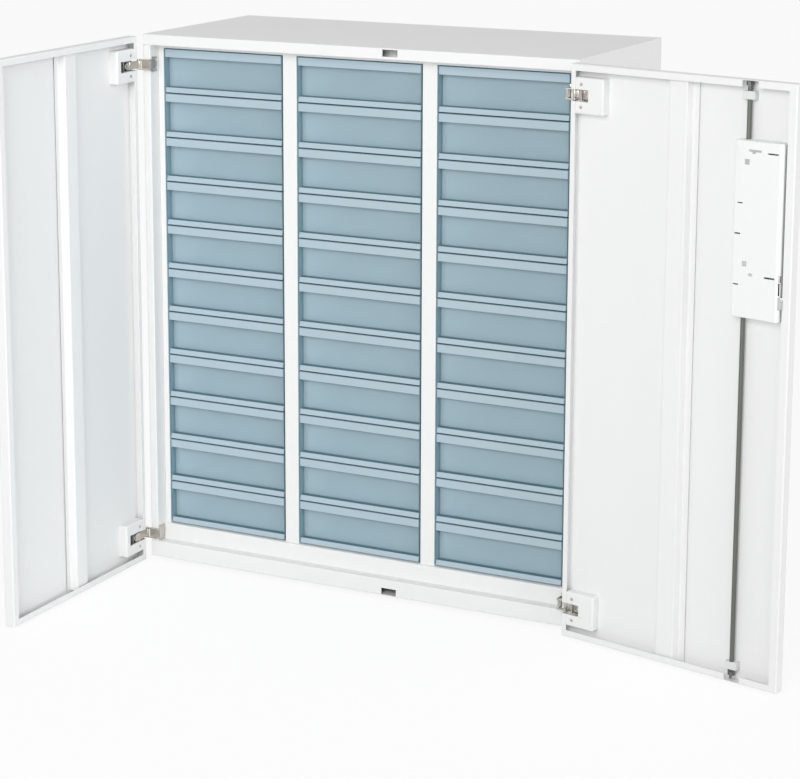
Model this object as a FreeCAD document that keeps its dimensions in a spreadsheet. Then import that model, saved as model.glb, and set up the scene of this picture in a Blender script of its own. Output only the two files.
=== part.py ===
"""Tray storage cabinet: a steel case on adjuster feet, three columns of eleven trays, two hinged doors.

Frame: X across the front (plus is right), Y into the case from the front of the jambs, Z up from the floor.
The rest pose has both doors open, as in use, and every tray pushed in.
"""

import FreeCAD, Part
import os
import re

import Sketcher

os.makedirs("parts", exist_ok=True)

doc = FreeCAD.newDocument("tray_cabinet")

COLUMNS = ["a", "b", "c"]
QUARTER = 90

# Every driving size in millimetres, angles in degrees.
# The lock parts are placed across from the free edge of the right door, and the latch holes from the rod.
# The lock case's lower end is given from the door's top, and bowl, plug and bolt from that end.
SIZES = {
    "cabinet_width": 900,
    "case_depth": 400,
    "shell_height": 1040,
    "foot_height": 10,
    "sheet": 1,
    "jamb_width": 16,
    "jamb_return": 28,
    "back_flange": 15,
    "top_rail": 21,
    "bottom_rail": 32,
    "plinth_setback": 22,
    "shelf_height": 64,
    "sheet_fit": 0.2,
    "foot_inset_side": 80,
    "foot_inset_end": 70,
    "foot_radius": 15,
    "foot_pad": 6,
    "stud_radius": 4,
    "stud_length": 34,
    "stud_fit": 0.1,
    "nut_radius": 8,
    "nut_height": 7,
    "unit_setback": 30,
    "column_pitch": 291.5,
    "row_pitch": 86,
    "tray_width": 258.5,
    "tray_front": 77,
    "tray_apron": 7,
    "tray_front_depth": 15,
    "tray_wall": 2,
    "window_recess": 13,
    "lip": 16,
    "ledge": 2.5,
    "bin_width": 242,
    "bin_height": 62,
    "bin_length": 340,
    "rim_width": 7,
    "tray_side_gap": 1.5,
    "tray_floor_gap": 9.6,
    "runner_reach": 8,
    "runner_sheet": 1.2,
    "runner_leg": 10,
    "runner_length": 330,
    "runner_gap": 0.3,
    "door_width": 447,
    "door_depth": 20,
    "door_gap": 2,
    "door_edge_inset": 1.5,
    "door_below_shell": 5,
    "door_below_top": 3,
    "edge_lip": 10,
    "end_lip": 12,
    "free_lip": 15,
    "hat_start": 188,
    "hat_foot": 10,
    "hat_crown": 44,
    "hat_sink": 5,
    "hat_end_gap": 4,
    "left_open": 90,
    "right_open": 167.5,
    "left_pole_out": 6.9,
    "left_pole_front": 4.4,
    "right_pole_in": 1,
    "right_pole_front": 16,
    "hinge_from_top": 58,
    "hinge_from_bottom": 48,
    "pocket_length": 55.7,
    "pocket_height": 21,
    "bracket_end": 74,
    "bracket_height": 64.6,
    "bracket_sheet": 1.2,
    "bracket_sink": 0.6,
    "base_height": 29,
    "base_length": 20.5,
    "base_thickness": 2.4,
    "leaf_thickness": 2.4,
    "leaf_half": 2.6,
    "left_web": 0.8,
    "web_gap": 1,
    "knuckle_radius": 3.6,
    "pin_radius": 1.5,
    "pin_fit": 0.05,
    "tongue_thickness": 3,
    "knuckle_gap": 0.3,
    "cup_start": 18.5,
    "cup_end": 46,
    "left_cup_sink": 0.8,
    "right_cup_sink": 5,
    "screw_radius": 3,
    "screw_head": 1,
    "bracket_screw_at": 22,
    "bracket_screw_offset": 20,
    "base_screw_offset": 10.5,
    "latch_hole_at": 17,
    "latch_hole_width": 31,
    "latch_hole_height": 13,
    "top_hole_drop": 9,
    "bottom_hole_rise": 8,
    "rod_at": 95,
    "rod_radius": 4,
    "rod_sink": 7,
    "claw_radius": 20,
    "claw_height": 8,
    "claw_thickness": 4,
    "claw_angle": 64,
    "claw_boss": 6.5,
    "claw_slot_margin": 2,
    "guide_width": 24,
    "guide_height": 14,
    "guide_fit": 0.05,
    "guide_from_end": 26,
    "lock_case_start": 109,
    "lock_case_width": 96,
    "lock_case_bottom": 397,
    "lock_case_height": 298,
    "lock_case_proud": 7,
    "lock_case_wall": 2,
    "rod_way_gap": 1,
    "bolt_way_gap": 0.3,
    "bowl_start": 81,
    "bowl_width": 60,
    "bowl_bottom": 70,
    "bowl_height": 160,
    "bowl_depth": 11,
    "bowl_wall": 1.5,
    "bowl_flange": 3,
    "lever_thickness": 3,
    "lever_margin": 3,
    "lever_pin_radius": 1.5,
    "lever_pin_inset": 5,
    "lever_finger_gap": 16,
    "plug_radius": 7,
    "barrel_radius": 10,
    "barrel_length": 18,
    "barrel_proud": 1.5,
    "plug_fit": 0.05,
    "plug_at": 51,
    "plug_height": 262,
    "key_slot": 1.6,
    "key_slot_length": 8.4,
    "bolt_reach": 6,
    "bolt_height": 21,
    "bolt_thickness": 4.2,
    "bolt_rise": 2.5,
    "bolt_bottom": 22,
    "bolt_length": 26,
}

# As many trays stand one above the other as fit between the base shelf and the top rail
OPENING = SIZES["shell_height"] - SIZES["shelf_height"] - SIZES["top_rail"]
ROWS = 1 + int((OPENING - SIZES["tray_floor_gap"] - SIZES["tray_front"]) / SIZES["row_pitch"])

sheet = doc.addObject("Spreadsheet::Sheet", "Sizes")
for line, (word, value) in enumerate(SIZES.items(), start=1):
    sheet.set(f"A{line}", word)
    sheet.set(f"B{line}", str(value))
    sheet.setAlias(f"B{line}", word)
doc.recompute()

ALIAS = re.compile(r"\b(" + "|".join(sorted(SIZES, key=len, reverse=True)) + r")\b")


def cells(text):
    """Point each size named in an expression at its cell of the sheet."""
    return ALIAS.sub(r"Sizes.\1", text)


def value_of(text):
    """The number that an expression gives now."""
    return float(sheet.evalExpression(cells(text)))


def bind(item, prop, text):
    """Bind a property of an object to an expression of sizes."""
    item.setExpression(prop, cells(text))


# Levels and planes that several pieces share
HALF = "cabinet_width / 2"
SHELL_BOTTOM = "foot_height"
SHELL_TOP = "(foot_height + shell_height)"
SHELF_TOP = "(foot_height + shelf_height)"
BACK = "case_depth"
SIDE_INSIDE = "(cabinet_width / 2 - sheet)"
JAMB_INSIDE = "(cabinet_width / 2 - jamb_width)"
TRAY_CLEAR = "(tray_width / 2 + tray_side_gap)"
FIRST_ROW = "(foot_height + shelf_height + tray_floor_gap)"
UNIT_BACK = "(case_depth - 2 * sheet - sheet_fit)"
DOOR_BOTTOM = "(foot_height - door_below_shell)"
DOOR_TOP = "(foot_height + shell_height - door_below_top)"
HINGE_LEVELS = ["(foot_height + shell_height - hinge_from_top)", "(foot_height + hinge_from_bottom)"]
TOP_HOLE = "(foot_height + shell_height - top_hole_drop)"
BOTTOM_HOLE = "(foot_height + bottom_hole_rise)"

# Places of the lock parts, from the hinge edge of the right door and from the floor
ROD_AT = "(door_width - rod_at)"
CASE_START = "(door_width - lock_case_start)"
CASE_END = "(door_width - lock_case_start + lock_case_width)"
CASE_BOTTOM = "(foot_height + shell_height - door_below_top - lock_case_bottom)"
BOWL_START = "(door_width - bowl_start)"
BOWL_END = "(door_width - bowl_start + bowl_width)"
BOWL_BOTTOM = f"({CASE_BOTTOM} + bowl_bottom)"
BOWL_TOP = f"({CASE_BOTTOM} + bowl_bottom + bowl_height)"
PLUG_AT = "(door_width - plug_at)"
PLUG_LEVEL = f"({CASE_BOTTOM} + plug_height)"
BOLT_BOTTOM = f"({CASE_BOTTOM} + bolt_bottom)"
HOLE_AT = "(cabinet_width / 2 - door_edge_inset - door_width + rod_at - latch_hole_at)"

# Centre of an upright bar on the right door, from the hinge edge of the closed door and from its inner face
ROD_CENTRE = (f"-{ROD_AT}", "-(rod_sink + rod_radius)")
LEVER_PIN = (
    f"-({BOWL_START} + sheet_fit + bowl_wall + lever_pin_inset)",
    "-(door_depth - lever_thickness / 2 - lever_pin_radius)",
)

# The door swings about a pole given from the side plane of the case and from the front of the jambs
POLES = {
    "left": ("(cabinet_width / 2 + left_pole_out)", "left_pole_front", "left_open"),
    "right": ("(cabinet_width / 2 - right_pole_in)", "right_pole_front", "right_open"),
}
# Hinge edge of a closed door, from the centre line
DOOR_EDGE = "(cabinet_width / 2 - door_edge_inset)"


def mirrored(side, low, high):
    """A span measured towards the right, or its mirror image for the other side."""
    if side > 0:
        return low, high
    return f"-({high})", f"-({low})"


def box(name, across, along, up):
    """A block between pairs of low and high expressions."""
    block = doc.addObject("Part::Box", name)
    for prop, axis, (low, high) in (("Length", "x", across), ("Width", "y", along), ("Height", "z", up)):
        bind(block, prop, f"({high}) - ({low})")
        bind(block, f"Placement.Base.{axis}", low)
    return block


def rod(name, centre, radius, up):
    """An upright cylinder about a centre, between two levels."""
    cylinder = doc.addObject("Part::Cylinder", name)
    bind(cylinder, "Radius", radius)
    bind(cylinder, "Height", f"({up[1]}) - ({up[0]})")
    bind(cylinder, "Placement.Base.x", centre[0])
    bind(cylinder, "Placement.Base.y", centre[1])
    bind(cylinder, "Placement.Base.z", up[0])
    return cylinder


def dowel(name, centre, radius, along):
    """A cylinder that runs along Y about a centre in X and Z, between two depths."""
    cylinder = doc.addObject("Part::Cylinder", name)
    bind(cylinder, "Radius", radius)
    bind(cylinder, "Height", f"({along[1]}) - ({along[0]})")
    turn = FreeCAD.Rotation(FreeCAD.Vector(1, 0, 0), -QUARTER)
    cylinder.Placement = FreeCAD.Placement(FreeCAD.Vector(), turn)
    bind(cylinder, "Placement.Base.x", centre[0])
    bind(cylinder, "Placement.Base.y", along[0])
    bind(cylinder, "Placement.Base.z", centre[1])
    return cylinder


def fused(name, pieces):
    """One piece made of touching blocks."""
    joined = doc.addObject("Part::MultiFuse", name)
    joined.Shapes = pieces
    joined.Refine = True
    joined.Label = name
    return joined


def cut(name, solid, tools):
    """A solid with the given blocks taken away."""
    removed = tools[0]
    if len(tools) > 1:
        removed = doc.addObject("Part::MultiFuse", f"{name}_voids")
        removed.Shapes = tools
    left = doc.addObject("Part::Cut", name)
    left.Base = solid
    left.Tool = removed
    left.Refine = True
    left.Label = name
    return left


def group(name, pieces):
    """One node of separate solids, each of which keeps its own place inside it."""
    together = doc.addObject("Part::Compound", name)
    together.Links = pieces
    together.Label = name
    return together


def body_named(name):
    """A body whose solid comes from sketches."""
    body = doc.addObject("PartDesign::Body", name)
    body.Label = name
    body.AllowCompound = True
    return body


def origin_plane(body, role):
    """One of the body's own origin planes."""
    return next(item for item in body.Origin.OriginFeatures if item.Role == role)


def outline(body, name, role, corners, raised="0"):
    """A closed polygon whose corners are pairs of expressions, on a plane of the body."""
    sketch = body.newObject("Sketcher::SketchObject", name)
    sketch.AttachmentSupport = [(origin_plane(body, role), "")]
    sketch.MapMode = "FlatFace"
    bind(sketch, "AttachmentOffset.Base.z", raised)
    points = [FreeCAD.Vector(value_of(x), value_of(y), 0) for x, y in corners]
    for index, point in enumerate(points):
        following = points[(index + 1) % len(points)]
        sketch.addGeometry(Part.LineSegment(point, following), False)
    for index in range(len(points)):
        following = (index + 1) % len(points)
        sketch.addConstraint(Sketcher.Constraint("Coincident", index, 2, following, 1))
    for index, (x, y) in enumerate(corners):
        for kind, text in (("DistanceX", x), ("DistanceY", y)):
            number = sketch.addConstraint(Sketcher.Constraint(kind, -1, 1, index, 1, value_of(text)))
            bind(sketch, f"Constraints[{number}]", text)
    return sketch


def rectangle(low_x, high_x, low_y, high_y):
    """The corners of a rectangle."""
    return [(low_x, low_y), (high_x, low_y), (high_x, high_y), (low_x, high_y)]


def pad(body, name, sketch, length, reverse=False):
    """Thicken a sketch into a solid."""
    feature = body.newObject("PartDesign::Pad", name)
    feature.Profile = sketch
    bind(feature, "Length", length)
    feature.Reversed = reverse
    return feature


def pocket(body, name, sketch, length, reverse=False):
    """Take the prism of a sketch out of the body."""
    doc.recompute()
    before = body.Shape.Volume
    feature = body.newObject("PartDesign::Pocket", name)
    feature.Profile = sketch
    bind(feature, "Length", length)
    feature.Reversed = reverse
    doc.recompute()
    if not body.Shape.Volume < before:
        raise ValueError(f"{name} takes nothing away")
    return feature


def side_panel(name, side):
    """Side of the case: one sheet with the front jamb, its return and a back flange."""
    jamb_up = (f"{SHELL_BOTTOM} + bottom_rail", f"{SHELL_TOP} - top_rail")
    full_up = (SHELL_BOTTOM, f"{SHELL_TOP} - sheet")
    skin = box(f"{name}_skin", mirrored(side, SIDE_INSIDE, HALF), ("sheet", BACK), full_up)
    face = box(f"{name}_jamb", mirrored(side, JAMB_INSIDE, HALF), ("0", "sheet"), jamb_up)
    inner = mirrored(side, JAMB_INSIDE, f"{JAMB_INSIDE} + sheet")
    turn = box(f"{name}_return", inner, ("sheet", "jamb_return"), jamb_up)
    rear_across = mirrored(side, f"{HALF} - back_flange", SIDE_INSIDE)
    rear = box(f"{name}_flange", rear_across, (f"{BACK} - sheet", BACK), full_up)
    return fused(name, [skin, face, turn, rear])


def latch_hole(name, level):
    """The opening in a rail that a claw of the lock rods enters."""
    low = f"{level} - latch_hole_height / 2"
    high = f"{level} + latch_hole_height / 2"
    across = (f"{HOLE_AT} - latch_hole_width / 2", f"{HOLE_AT} + latch_hole_width / 2")
    return box(name, across, ("-sheet", "2 * sheet"), (low, high))


def top_panel():
    """Top sheet with the front rail folded down and back."""
    across = (f"-{HALF}", HALF)
    inside = (f"-{SIDE_INSIDE}", SIDE_INSIDE)
    low = f"{SHELL_TOP} - top_rail"
    roof = box("top_sheet", across, ("0", BACK), (f"{SHELL_TOP} - sheet", SHELL_TOP))
    rail = box("top_front", across, ("0", "sheet"), (low, f"{SHELL_TOP} - sheet"))
    turn = box("top_return", inside, ("sheet", "jamb_return"), (low, f"{low} + sheet"))
    return cut("top_panel", fused("top_folded", [roof, rail, turn]), [latch_hole("top_hole", TOP_HOLE)])


def foot_places():
    """The centres of the four adjuster feet."""
    reach = "(cabinet_width / 2 - foot_inset_side)"
    front = "foot_inset_end"
    rear = "(case_depth - foot_inset_end)"
    return [(f"-{reach}", front), (reach, front), (f"-{reach}", rear), (reach, rear)]


def bottom_panel():
    """Bottom sheet with the front rail folded up and back, and a welded nut over each foot."""
    across = (f"-{HALF}", HALF)
    inside = (f"-{SIDE_INSIDE}", SIDE_INSIDE)
    low = SHELL_BOTTOM
    high = f"{SHELL_BOTTOM} + bottom_rail"
    solids = [
        box("bottom_sheet", inside, ("sheet", f"{BACK} - 2 * sheet"), (low, f"{low} + sheet")),
        box("bottom_front", across, ("0", "sheet"), (low, high)),
        box("bottom_return", inside, ("sheet", "plinth_setback + sheet"), (f"{high} - sheet", high)),
    ]
    voids = [latch_hole("bottom_hole", BOTTOM_HOLE)]
    for index, place in enumerate(foot_places()):
        nut = doc.addObject("Part::Prism", f"foot_nut_{index}")
        nut.Polygon = 6
        bind(nut, "Circumradius", "nut_radius")
        bind(nut, "Height", "nut_height")
        bind(nut, "Placement.Base.x", place[0])
        bind(nut, "Placement.Base.y", place[1])
        bind(nut, "Placement.Base.z", f"{low} + sheet")
        solids.append(nut)
        hole_up = ("0", f"{low} + 2 * nut_height")
        voids.append(rod(f"stud_hole_{index}", place, "stud_radius + stud_fit", hole_up))
    return cut("bottom_panel", fused("bottom_folded", solids), voids)


def base_shelf():
    """Raised floor behind the bottom rail, with its own front plate."""
    across = (f"-{JAMB_INSIDE} + sheet_fit", f"{JAMB_INSIDE} - sheet_fit")
    low = f"{SHELL_BOTTOM} + bottom_rail"
    front_along = ("plinth_setback", "plinth_setback + sheet")
    front = box("shelf_front", across, front_along, (low, f"{SHELF_TOP} - sheet"))
    floor = box("shelf_sheet", across, ("plinth_setback", UNIT_BACK), (f"{SHELF_TOP} - sheet", SHELF_TOP))
    return fused("base_shelf", [front, floor])


def back_panel():
    """Back sheet, held inside the flanges of the sides."""
    across = (f"-{SIDE_INSIDE}", SIDE_INSIDE)
    up = (SHELL_BOTTOM, f"{SHELL_TOP} - sheet")
    plate = box("back_panel", across, (f"{BACK} - 2 * sheet", f"{BACK} - sheet"), up)
    plate.Label = "back_panel"
    return plate


def upright(name, corners):
    """A folded sheet that stands on the base shelf and reaches the top sheet."""
    body = body_named(name)
    plan = outline(body, f"{name}_plan", "XY_Plane", corners, SHELF_TOP)
    pad(body, f"{name}_fold", plan, f"{SHELL_TOP} - sheet - {SHELF_TOP}")
    return body


def partitions():
    """Two folded uprights between the columns of trays, open at the back."""
    uprights = []
    spans = {
        "left": (f"(-column_pitch + {TRAY_CLEAR})", f"(-{TRAY_CLEAR})"),
        "right": (f"({TRAY_CLEAR})", f"(column_pitch - {TRAY_CLEAR})"),
    }
    for word, (near, far) in spans.items():
        corners = [
            (near, "unit_setback"),
            (far, "unit_setback"),
            (far, UNIT_BACK),
            (f"{far} - sheet", UNIT_BACK),
            (f"{far} - sheet", "unit_setback + sheet"),
            (f"{near} + sheet", "unit_setback + sheet"),
            (f"{near} + sheet", UNIT_BACK),
            (near, UNIT_BACK),
        ]
        uprights.append(upright(f"{word}_partition", corners))
    return group("partitions", uprights)


def side_liners():
    """Uprights that carry the outer runners, folded towards the sides of the case front and back."""
    liners = []
    inner = f"(column_pitch + {TRAY_CLEAR})"
    points = [
        (inner, "unit_setback"),
        (f"({JAMB_INSIDE} - sheet_fit)", "unit_setback"),
        (f"({JAMB_INSIDE} - sheet_fit)", "unit_setback + sheet"),
        (f"({inner} + sheet)", "unit_setback + sheet"),
        (f"({inner} + sheet)", f"{UNIT_BACK} - sheet"),
        (f"({SIDE_INSIDE} - sheet_fit)", f"{UNIT_BACK} - sheet"),
        (f"({SIDE_INSIDE} - sheet_fit)", UNIT_BACK),
        (inner, UNIT_BACK),
    ]
    for word, sign in (("left", "-"), ("right", "")):
        liners.append(upright(f"{word}_liner", [(f"{sign}{x}", y) for x, y in points]))
    return group("side_liners", liners)


def column_centre(index):
    """The middle of a column of trays, counted from the left."""
    return f"(column_pitch * {index - (len(COLUMNS) - 1) / 2:g})"


def row_bottom(index):
    """The underside of a tray, rows counted from the top."""
    return f"({FIRST_ROW} + row_pitch * {ROWS - 1 - index})"


def tray_runners():
    """Pairs of angle runners, one pair for each tray."""
    body = body_named("tray_runners")
    top = f"({FIRST_ROW} + bin_height - tray_wall - runner_gap)"
    for index, letter in enumerate(COLUMNS):
        for side, word in ((-1, "left"), (1, "right")):
            name = f"runner_{letter}_{word}"
            sign, back = ("-", "+") if side < 0 else ("+", "-")
            wall = f"({column_centre(index)} {sign} {TRAY_CLEAR})"
            corners = [
                (f"{wall} {back} runner_reach", top),
                (wall, top),
                (wall, f"{top} - runner_leg"),
                (f"{wall} {back} runner_sheet", f"{top} - runner_leg"),
                (f"{wall} {back} runner_sheet", f"{top} - runner_sheet"),
                (f"{wall} {back} runner_reach", f"{top} - runner_sheet"),
            ]
            front = "-(unit_setback + tray_front_depth + runner_gap)"
            section = outline(body, f"{name}_section", "XZ_Plane", corners, front)
            angle = pad(body, name, section, "runner_length", reverse=True)
            doc.recompute()
            rows = body.newObject("PartDesign::LinearPattern", f"{name}_rows")
            rows.Originals = [angle]
            rows.Direction = (section, ["V_Axis"])
            rows.Mode = "Spacing"
            bind(rows, "Offset", "row_pitch")
            rows.Occurrences = ROWS
            body.Tip = rows
            doc.recompute()
    return body


def tray_master():
    """One tray: a bin with side rims behind a recessed window with a finger lip, and an apron below them."""
    body = body_named("tray_master")
    half_front = "tray_width / 2"
    half_bin = "bin_width / 2"
    half_rim = "(bin_width / 2 + rim_width)"
    bin_back = "(tray_front_depth + bin_length)"
    inner = f"({half_bin} - tray_wall)"
    front_plan = rectangle(f"-{half_front}", half_front, "0", "tray_front_depth")
    bin_plan = rectangle(f"-{half_bin}", half_bin, "0", bin_back)
    rim_plan = rectangle(f"-{half_rim}", half_rim, "0", bin_back)
    hollow = rectangle(f"-{inner}", inner, "tray_front_depth", f"{bin_back} - tray_wall")
    front_sketch = outline(body, "front_plan", "XY_Plane", front_plan, "-tray_apron")
    pad(body, "tray_block", front_sketch, "tray_front + tray_apron")
    pad(body, "tray_bin", outline(body, "bin_plan", "XY_Plane", bin_plan), "bin_height")
    rim_sketch = outline(body, "rim_plan", "XY_Plane", rim_plan, "bin_height - tray_wall")
    pad(body, "tray_rims", rim_sketch, "tray_wall")
    hollow_sketch = outline(body, "hollow_plan", "XY_Plane", hollow, "tray_wall")
    pocket(body, "tray_hollow", hollow_sketch, "bin_height", reverse=True)
    face = f"({half_front} - tray_wall)"
    window = rectangle(f"-{face}", face, "ledge", "tray_front - lip")
    window_sketch = outline(body, "window_face", "XZ_Plane", window, "0")
    pocket(body, "tray_window", window_sketch, "window_recess", reverse=False)
    grip = rectangle(f"-{face}", face, "tray_front - lip", "tray_front - tray_wall")
    grip_sketch = outline(body, "grip_face", "XZ_Plane", grip, "-tray_wall")
    pocket(body, "tray_grip", grip_sketch, "window_recess - tray_wall", reverse=False)
    return body


def placed(name, master, across, up):
    """A copy of the master tray in its own place."""
    copy = doc.addObject("Part::Compound", name)
    copy.Links = [master]
    copy.Label = name
    bind(copy, "Placement.Base.x", across)
    bind(copy, "Placement.Base.y", "unit_setback")
    bind(copy, "Placement.Base.z", up)
    return copy


def adjuster_feet():
    """Four round pads on studs."""
    feet = []
    for index, place in enumerate(foot_places()):
        disc = rod(f"foot_pad_{index}", place, "foot_radius", ("0", "foot_pad"))
        stud = rod(f"foot_stud_{index}", place, "stud_radius", ("foot_pad", "foot_pad + stud_length"))
        feet.append(fused(f"foot_{index}", [disc, stud]))
    return group("adjuster_feet", feet)


def hang(piece, word):
    """Swing a piece, drawn from the hinge edge of its closed door, to the door's rest angle."""
    pole_x, pole_y, angle = POLES[word]
    side = 1 if word == "left" else -1
    turn = f"({angle} * 1 deg)"
    reach = f"({DOOR_EDGE} - {pole_x})"
    lift = f"({pole_y} - door_gap)"
    sign = "-" if side > 0 else ""
    # From the pole to the hinge edge of the closed door, across and to the front
    across = f"({sign}{reach})"
    swing = "+" if side > 0 else "-"
    back = "-" if side > 0 else "+"
    bind(piece, "Placement.Base.x", f"{sign}{pole_x} + {across} * cos{turn} {swing} {lift} * sin{turn}")
    bind(piece, "Placement.Base.y", f"-{pole_y} {back} {across} * sin{turn} + {lift} * cos{turn}")
    upright_turn = FreeCAD.Rotation(FreeCAD.Vector(0, 0, 1), -side * QUARTER)
    piece.Placement = FreeCAD.Placement(piece.Placement.Base, upright_turn)
    bind(piece, "Placement.Rotation.Angle", angle if side < 0 else f"-{angle}")
    return piece


def from_edge(word, low, high):
    """A span measured from the door's hinge edge towards its free edge."""
    return mirrored(1 if word == "left" else -1, low, high)


def hinge_pocket(name, word, level, depth):
    """The opening at the hinge edge that the hinge folds into."""
    across = from_edge(word, "-sheet", "pocket_length")
    up = (f"{level} - pocket_height / 2", f"{level} + pocket_height / 2")
    return box(name, across, (f"-({depth})", "sheet"), up)


def door_skin(word):
    """Door pan: outer sheet, folded edges and lips that turn inwards round the inner side."""
    name = f"{word}_door_skin"
    block_up = (DOOR_BOTTOM, DOOR_TOP)
    block = box(f"{name}_block", from_edge(word, "0", "door_width"), ("-door_depth", "0"), block_up)
    hollow_across = from_edge(word, "sheet", "door_width - sheet")
    hollow_up = (f"{DOOR_BOTTOM} + sheet", f"{DOOR_TOP} - sheet")
    hollow = box(f"{name}_hollow", hollow_across, ("-door_depth + sheet", "-sheet"), hollow_up)
    mouth_across = from_edge(word, "edge_lip", "door_width - free_lip")
    mouth_up = (f"{DOOR_BOTTOM} + end_lip", f"{DOOR_TOP} - end_lip")
    voids = [hollow, box(f"{name}_mouth", mouth_across, ("-2 * sheet", "sheet"), mouth_up)]
    for index, level in enumerate(HINGE_LEVELS):
        voids.append(hinge_pocket(f"{name}_pocket_{index}", word, level, "door_depth - sheet"))
    if word == "right":
        voids += claw_slots(name)
        voids.append(bowl_opening(name))
        hole_depth = ("-2 * door_depth", "-door_depth + 2 * sheet")
        voids.append(dowel(f"{name}_barrel_hole", (f"-{PLUG_AT}", PLUG_LEVEL), "barrel_radius", hole_depth))
    return hang(cut(name, block, voids), word)


def claw_slots(name):
    """Slots in the end lips that let the claws turn out."""
    low = f"{ROD_AT} - claw_boss - claw_slot_margin"
    high = f"{ROD_AT} + claw_radius + claw_slot_margin"
    across = from_edge("right", low, high)
    depth = ("-2 * sheet", "sheet")
    upper_up = (f"{DOOR_TOP} - end_lip - sheet", f"{DOOR_TOP} - sheet")
    lower_up = (f"{DOOR_BOTTOM} + sheet", f"{DOOR_BOTTOM} + end_lip + sheet")
    upper = box(f"{name}_slot_upper", across, depth, upper_up)
    lower = box(f"{name}_slot_lower", across, depth, lower_up)
    return [upper, lower]


def bowl_opening(name):
    """The opening in the outer sheet that the handle bowl sits in."""
    across = from_edge("right", BOWL_START, BOWL_END)
    depth = ("-door_depth - sheet", "-door_depth + 2 * sheet")
    return box(f"{name}_bowl_opening", across, depth, (BOWL_BOTTOM, BOWL_TOP))


def door_stiffener(word):
    """Hat section along the middle of the door."""
    name = f"{word}_door_stiffener"
    body = body_named(name)
    sign = "" if word == "left" else "-"
    floor = "(-door_depth + sheet)"
    crown = "(-hat_sink)"
    crown_start = "(hat_start + hat_foot)"
    crown_end = "(hat_start + hat_foot + hat_crown)"
    end = "(hat_start + 2 * hat_foot + hat_crown)"
    across_and_depth = [
        ("hat_start", floor),
        (f"{crown_start} + sheet", floor),
        (f"{crown_start} + sheet", f"{crown} - sheet"),
        (f"{crown_end} - sheet", f"{crown} - sheet"),
        (f"{crown_end} - sheet", floor),
        (end, floor),
        (end, f"{floor} + sheet"),
        (crown_end, f"{floor} + sheet"),
        (crown_end, crown),
        (crown_start, crown),
        (crown_start, f"{floor} + sheet"),
        ("hat_start", f"{floor} + sheet"),
    ]
    corners = [(f"{sign}({x})", y) for x, y in across_and_depth]
    low = f"({DOOR_BOTTOM} + sheet + hat_end_gap)"
    high = f"({DOOR_TOP} - sheet - hat_end_gap)"
    pad(body, f"{name}_fold", outline(body, f"{name}_plan", "XY_Plane", corners, low), f"{high} - {low}")
    return hang(body, word)


def hinge_brackets(word):
    """Pressed boxes on the back of the outer sheet, one at each hinge, with a pocket for it."""
    name = f"{word}_hinge_brackets"
    brackets = []
    for index, level in enumerate(HINGE_LEVELS):
        outer = from_edge(word, "edge_lip + sheet_fit", "bracket_end")
        inner = from_edge(word, "0", "bracket_end - bracket_sheet")
        up = (f"{level} - bracket_height / 2", f"{level} + bracket_height / 2")
        inside_up = (f"{up[0]} + bracket_sheet", f"{up[1]} - bracket_sheet")
        depth = ("-door_depth + sheet", "-bracket_sink")
        block = box(f"{name}_block_{index}", outer, depth, up)
        hollow_depth = ("-door_depth", "-bracket_sink - bracket_sheet")
        hollow = box(f"{name}_hollow_{index}", inner, hollow_depth, inside_up)
        window = hinge_pocket(f"{name}_window_{index}", word, level, "2 * bracket_sheet + sheet")
        brackets.append(cut(f"{name}_{index}", block, [hollow, window]))
    return hang(group(name, brackets), word)


def bracket_screws(word):
    """Screw heads above and below each pocket."""
    across = from_edge(word, "bracket_screw_at", "bracket_screw_at")[0]
    depth = ("-bracket_sink", "-bracket_sink + screw_head")
    screws = []
    for index, level in enumerate(HINGE_LEVELS):
        for sign, where in (("+", "upper"), ("-", "lower")):
            centre = (across, f"{level} {sign} bracket_screw_offset")
            screws.append(dowel(f"{word}_bracket_screw_{where}_{index}", centre, "screw_radius", depth))
    return screws


def pole_in_door(word):
    """The pole seen from the hinge edge of the closed door."""
    pole_x, pole_y, _ = POLES[word]
    away = f"({DOOR_EDGE} - {pole_x})"
    return (away if word == "left" else f"(-{away})"), f"(door_gap - {pole_y})"


def hinge_fittings(word):
    """Cup in each pocket with a tongue that ends in the knuckle on the pin, and the bracket screws."""
    name = f"{word}_hinge_fittings"
    pole = pole_in_door(word)
    cups = []
    tongue_half = "(pocket_height / 2 - knuckle_gap - leaf_thickness - knuckle_gap)"
    for index, level in enumerate(HINGE_LEVELS):
        cup_half = "(pocket_height / 2 - knuckle_gap)"
        cup_up = (f"{level} - {cup_half}", f"{level} + {cup_half}")
        cup_depth = ("-door_depth + sheet", f"-{word}_cup_sink")
        cup = box(f"{name}_cup_{index}", from_edge(word, "cup_start", "cup_end"), cup_depth, cup_up)
        tongue_up = (f"{level} - {tongue_half}", f"{level} + {tongue_half}")
        away = pole[0] if word == "left" else f"-({pole[0]})"
        across = from_edge(word, away, "cup_start")
        depth = (f"{pole[1]} - tongue_thickness / 2", f"{pole[1]} + tongue_thickness / 2")
        tongue = box(f"{name}_tongue_{index}", across, depth, tongue_up)
        knuckle = rod(f"{name}_knuckle_{index}", pole, "knuckle_radius", tongue_up)
        bore_up = (f"{level} - pocket_height", f"{level} + pocket_height")
        bore = rod(f"{name}_bore_{index}", pole, "pin_radius + pin_fit", bore_up)
        cups.append(cut(f"{name}_{index}", fused(f"{name}_solid_{index}", [cup, tongue, knuckle]), [bore]))
    return hang(group(name, cups + bracket_screws(word)), word)


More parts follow.
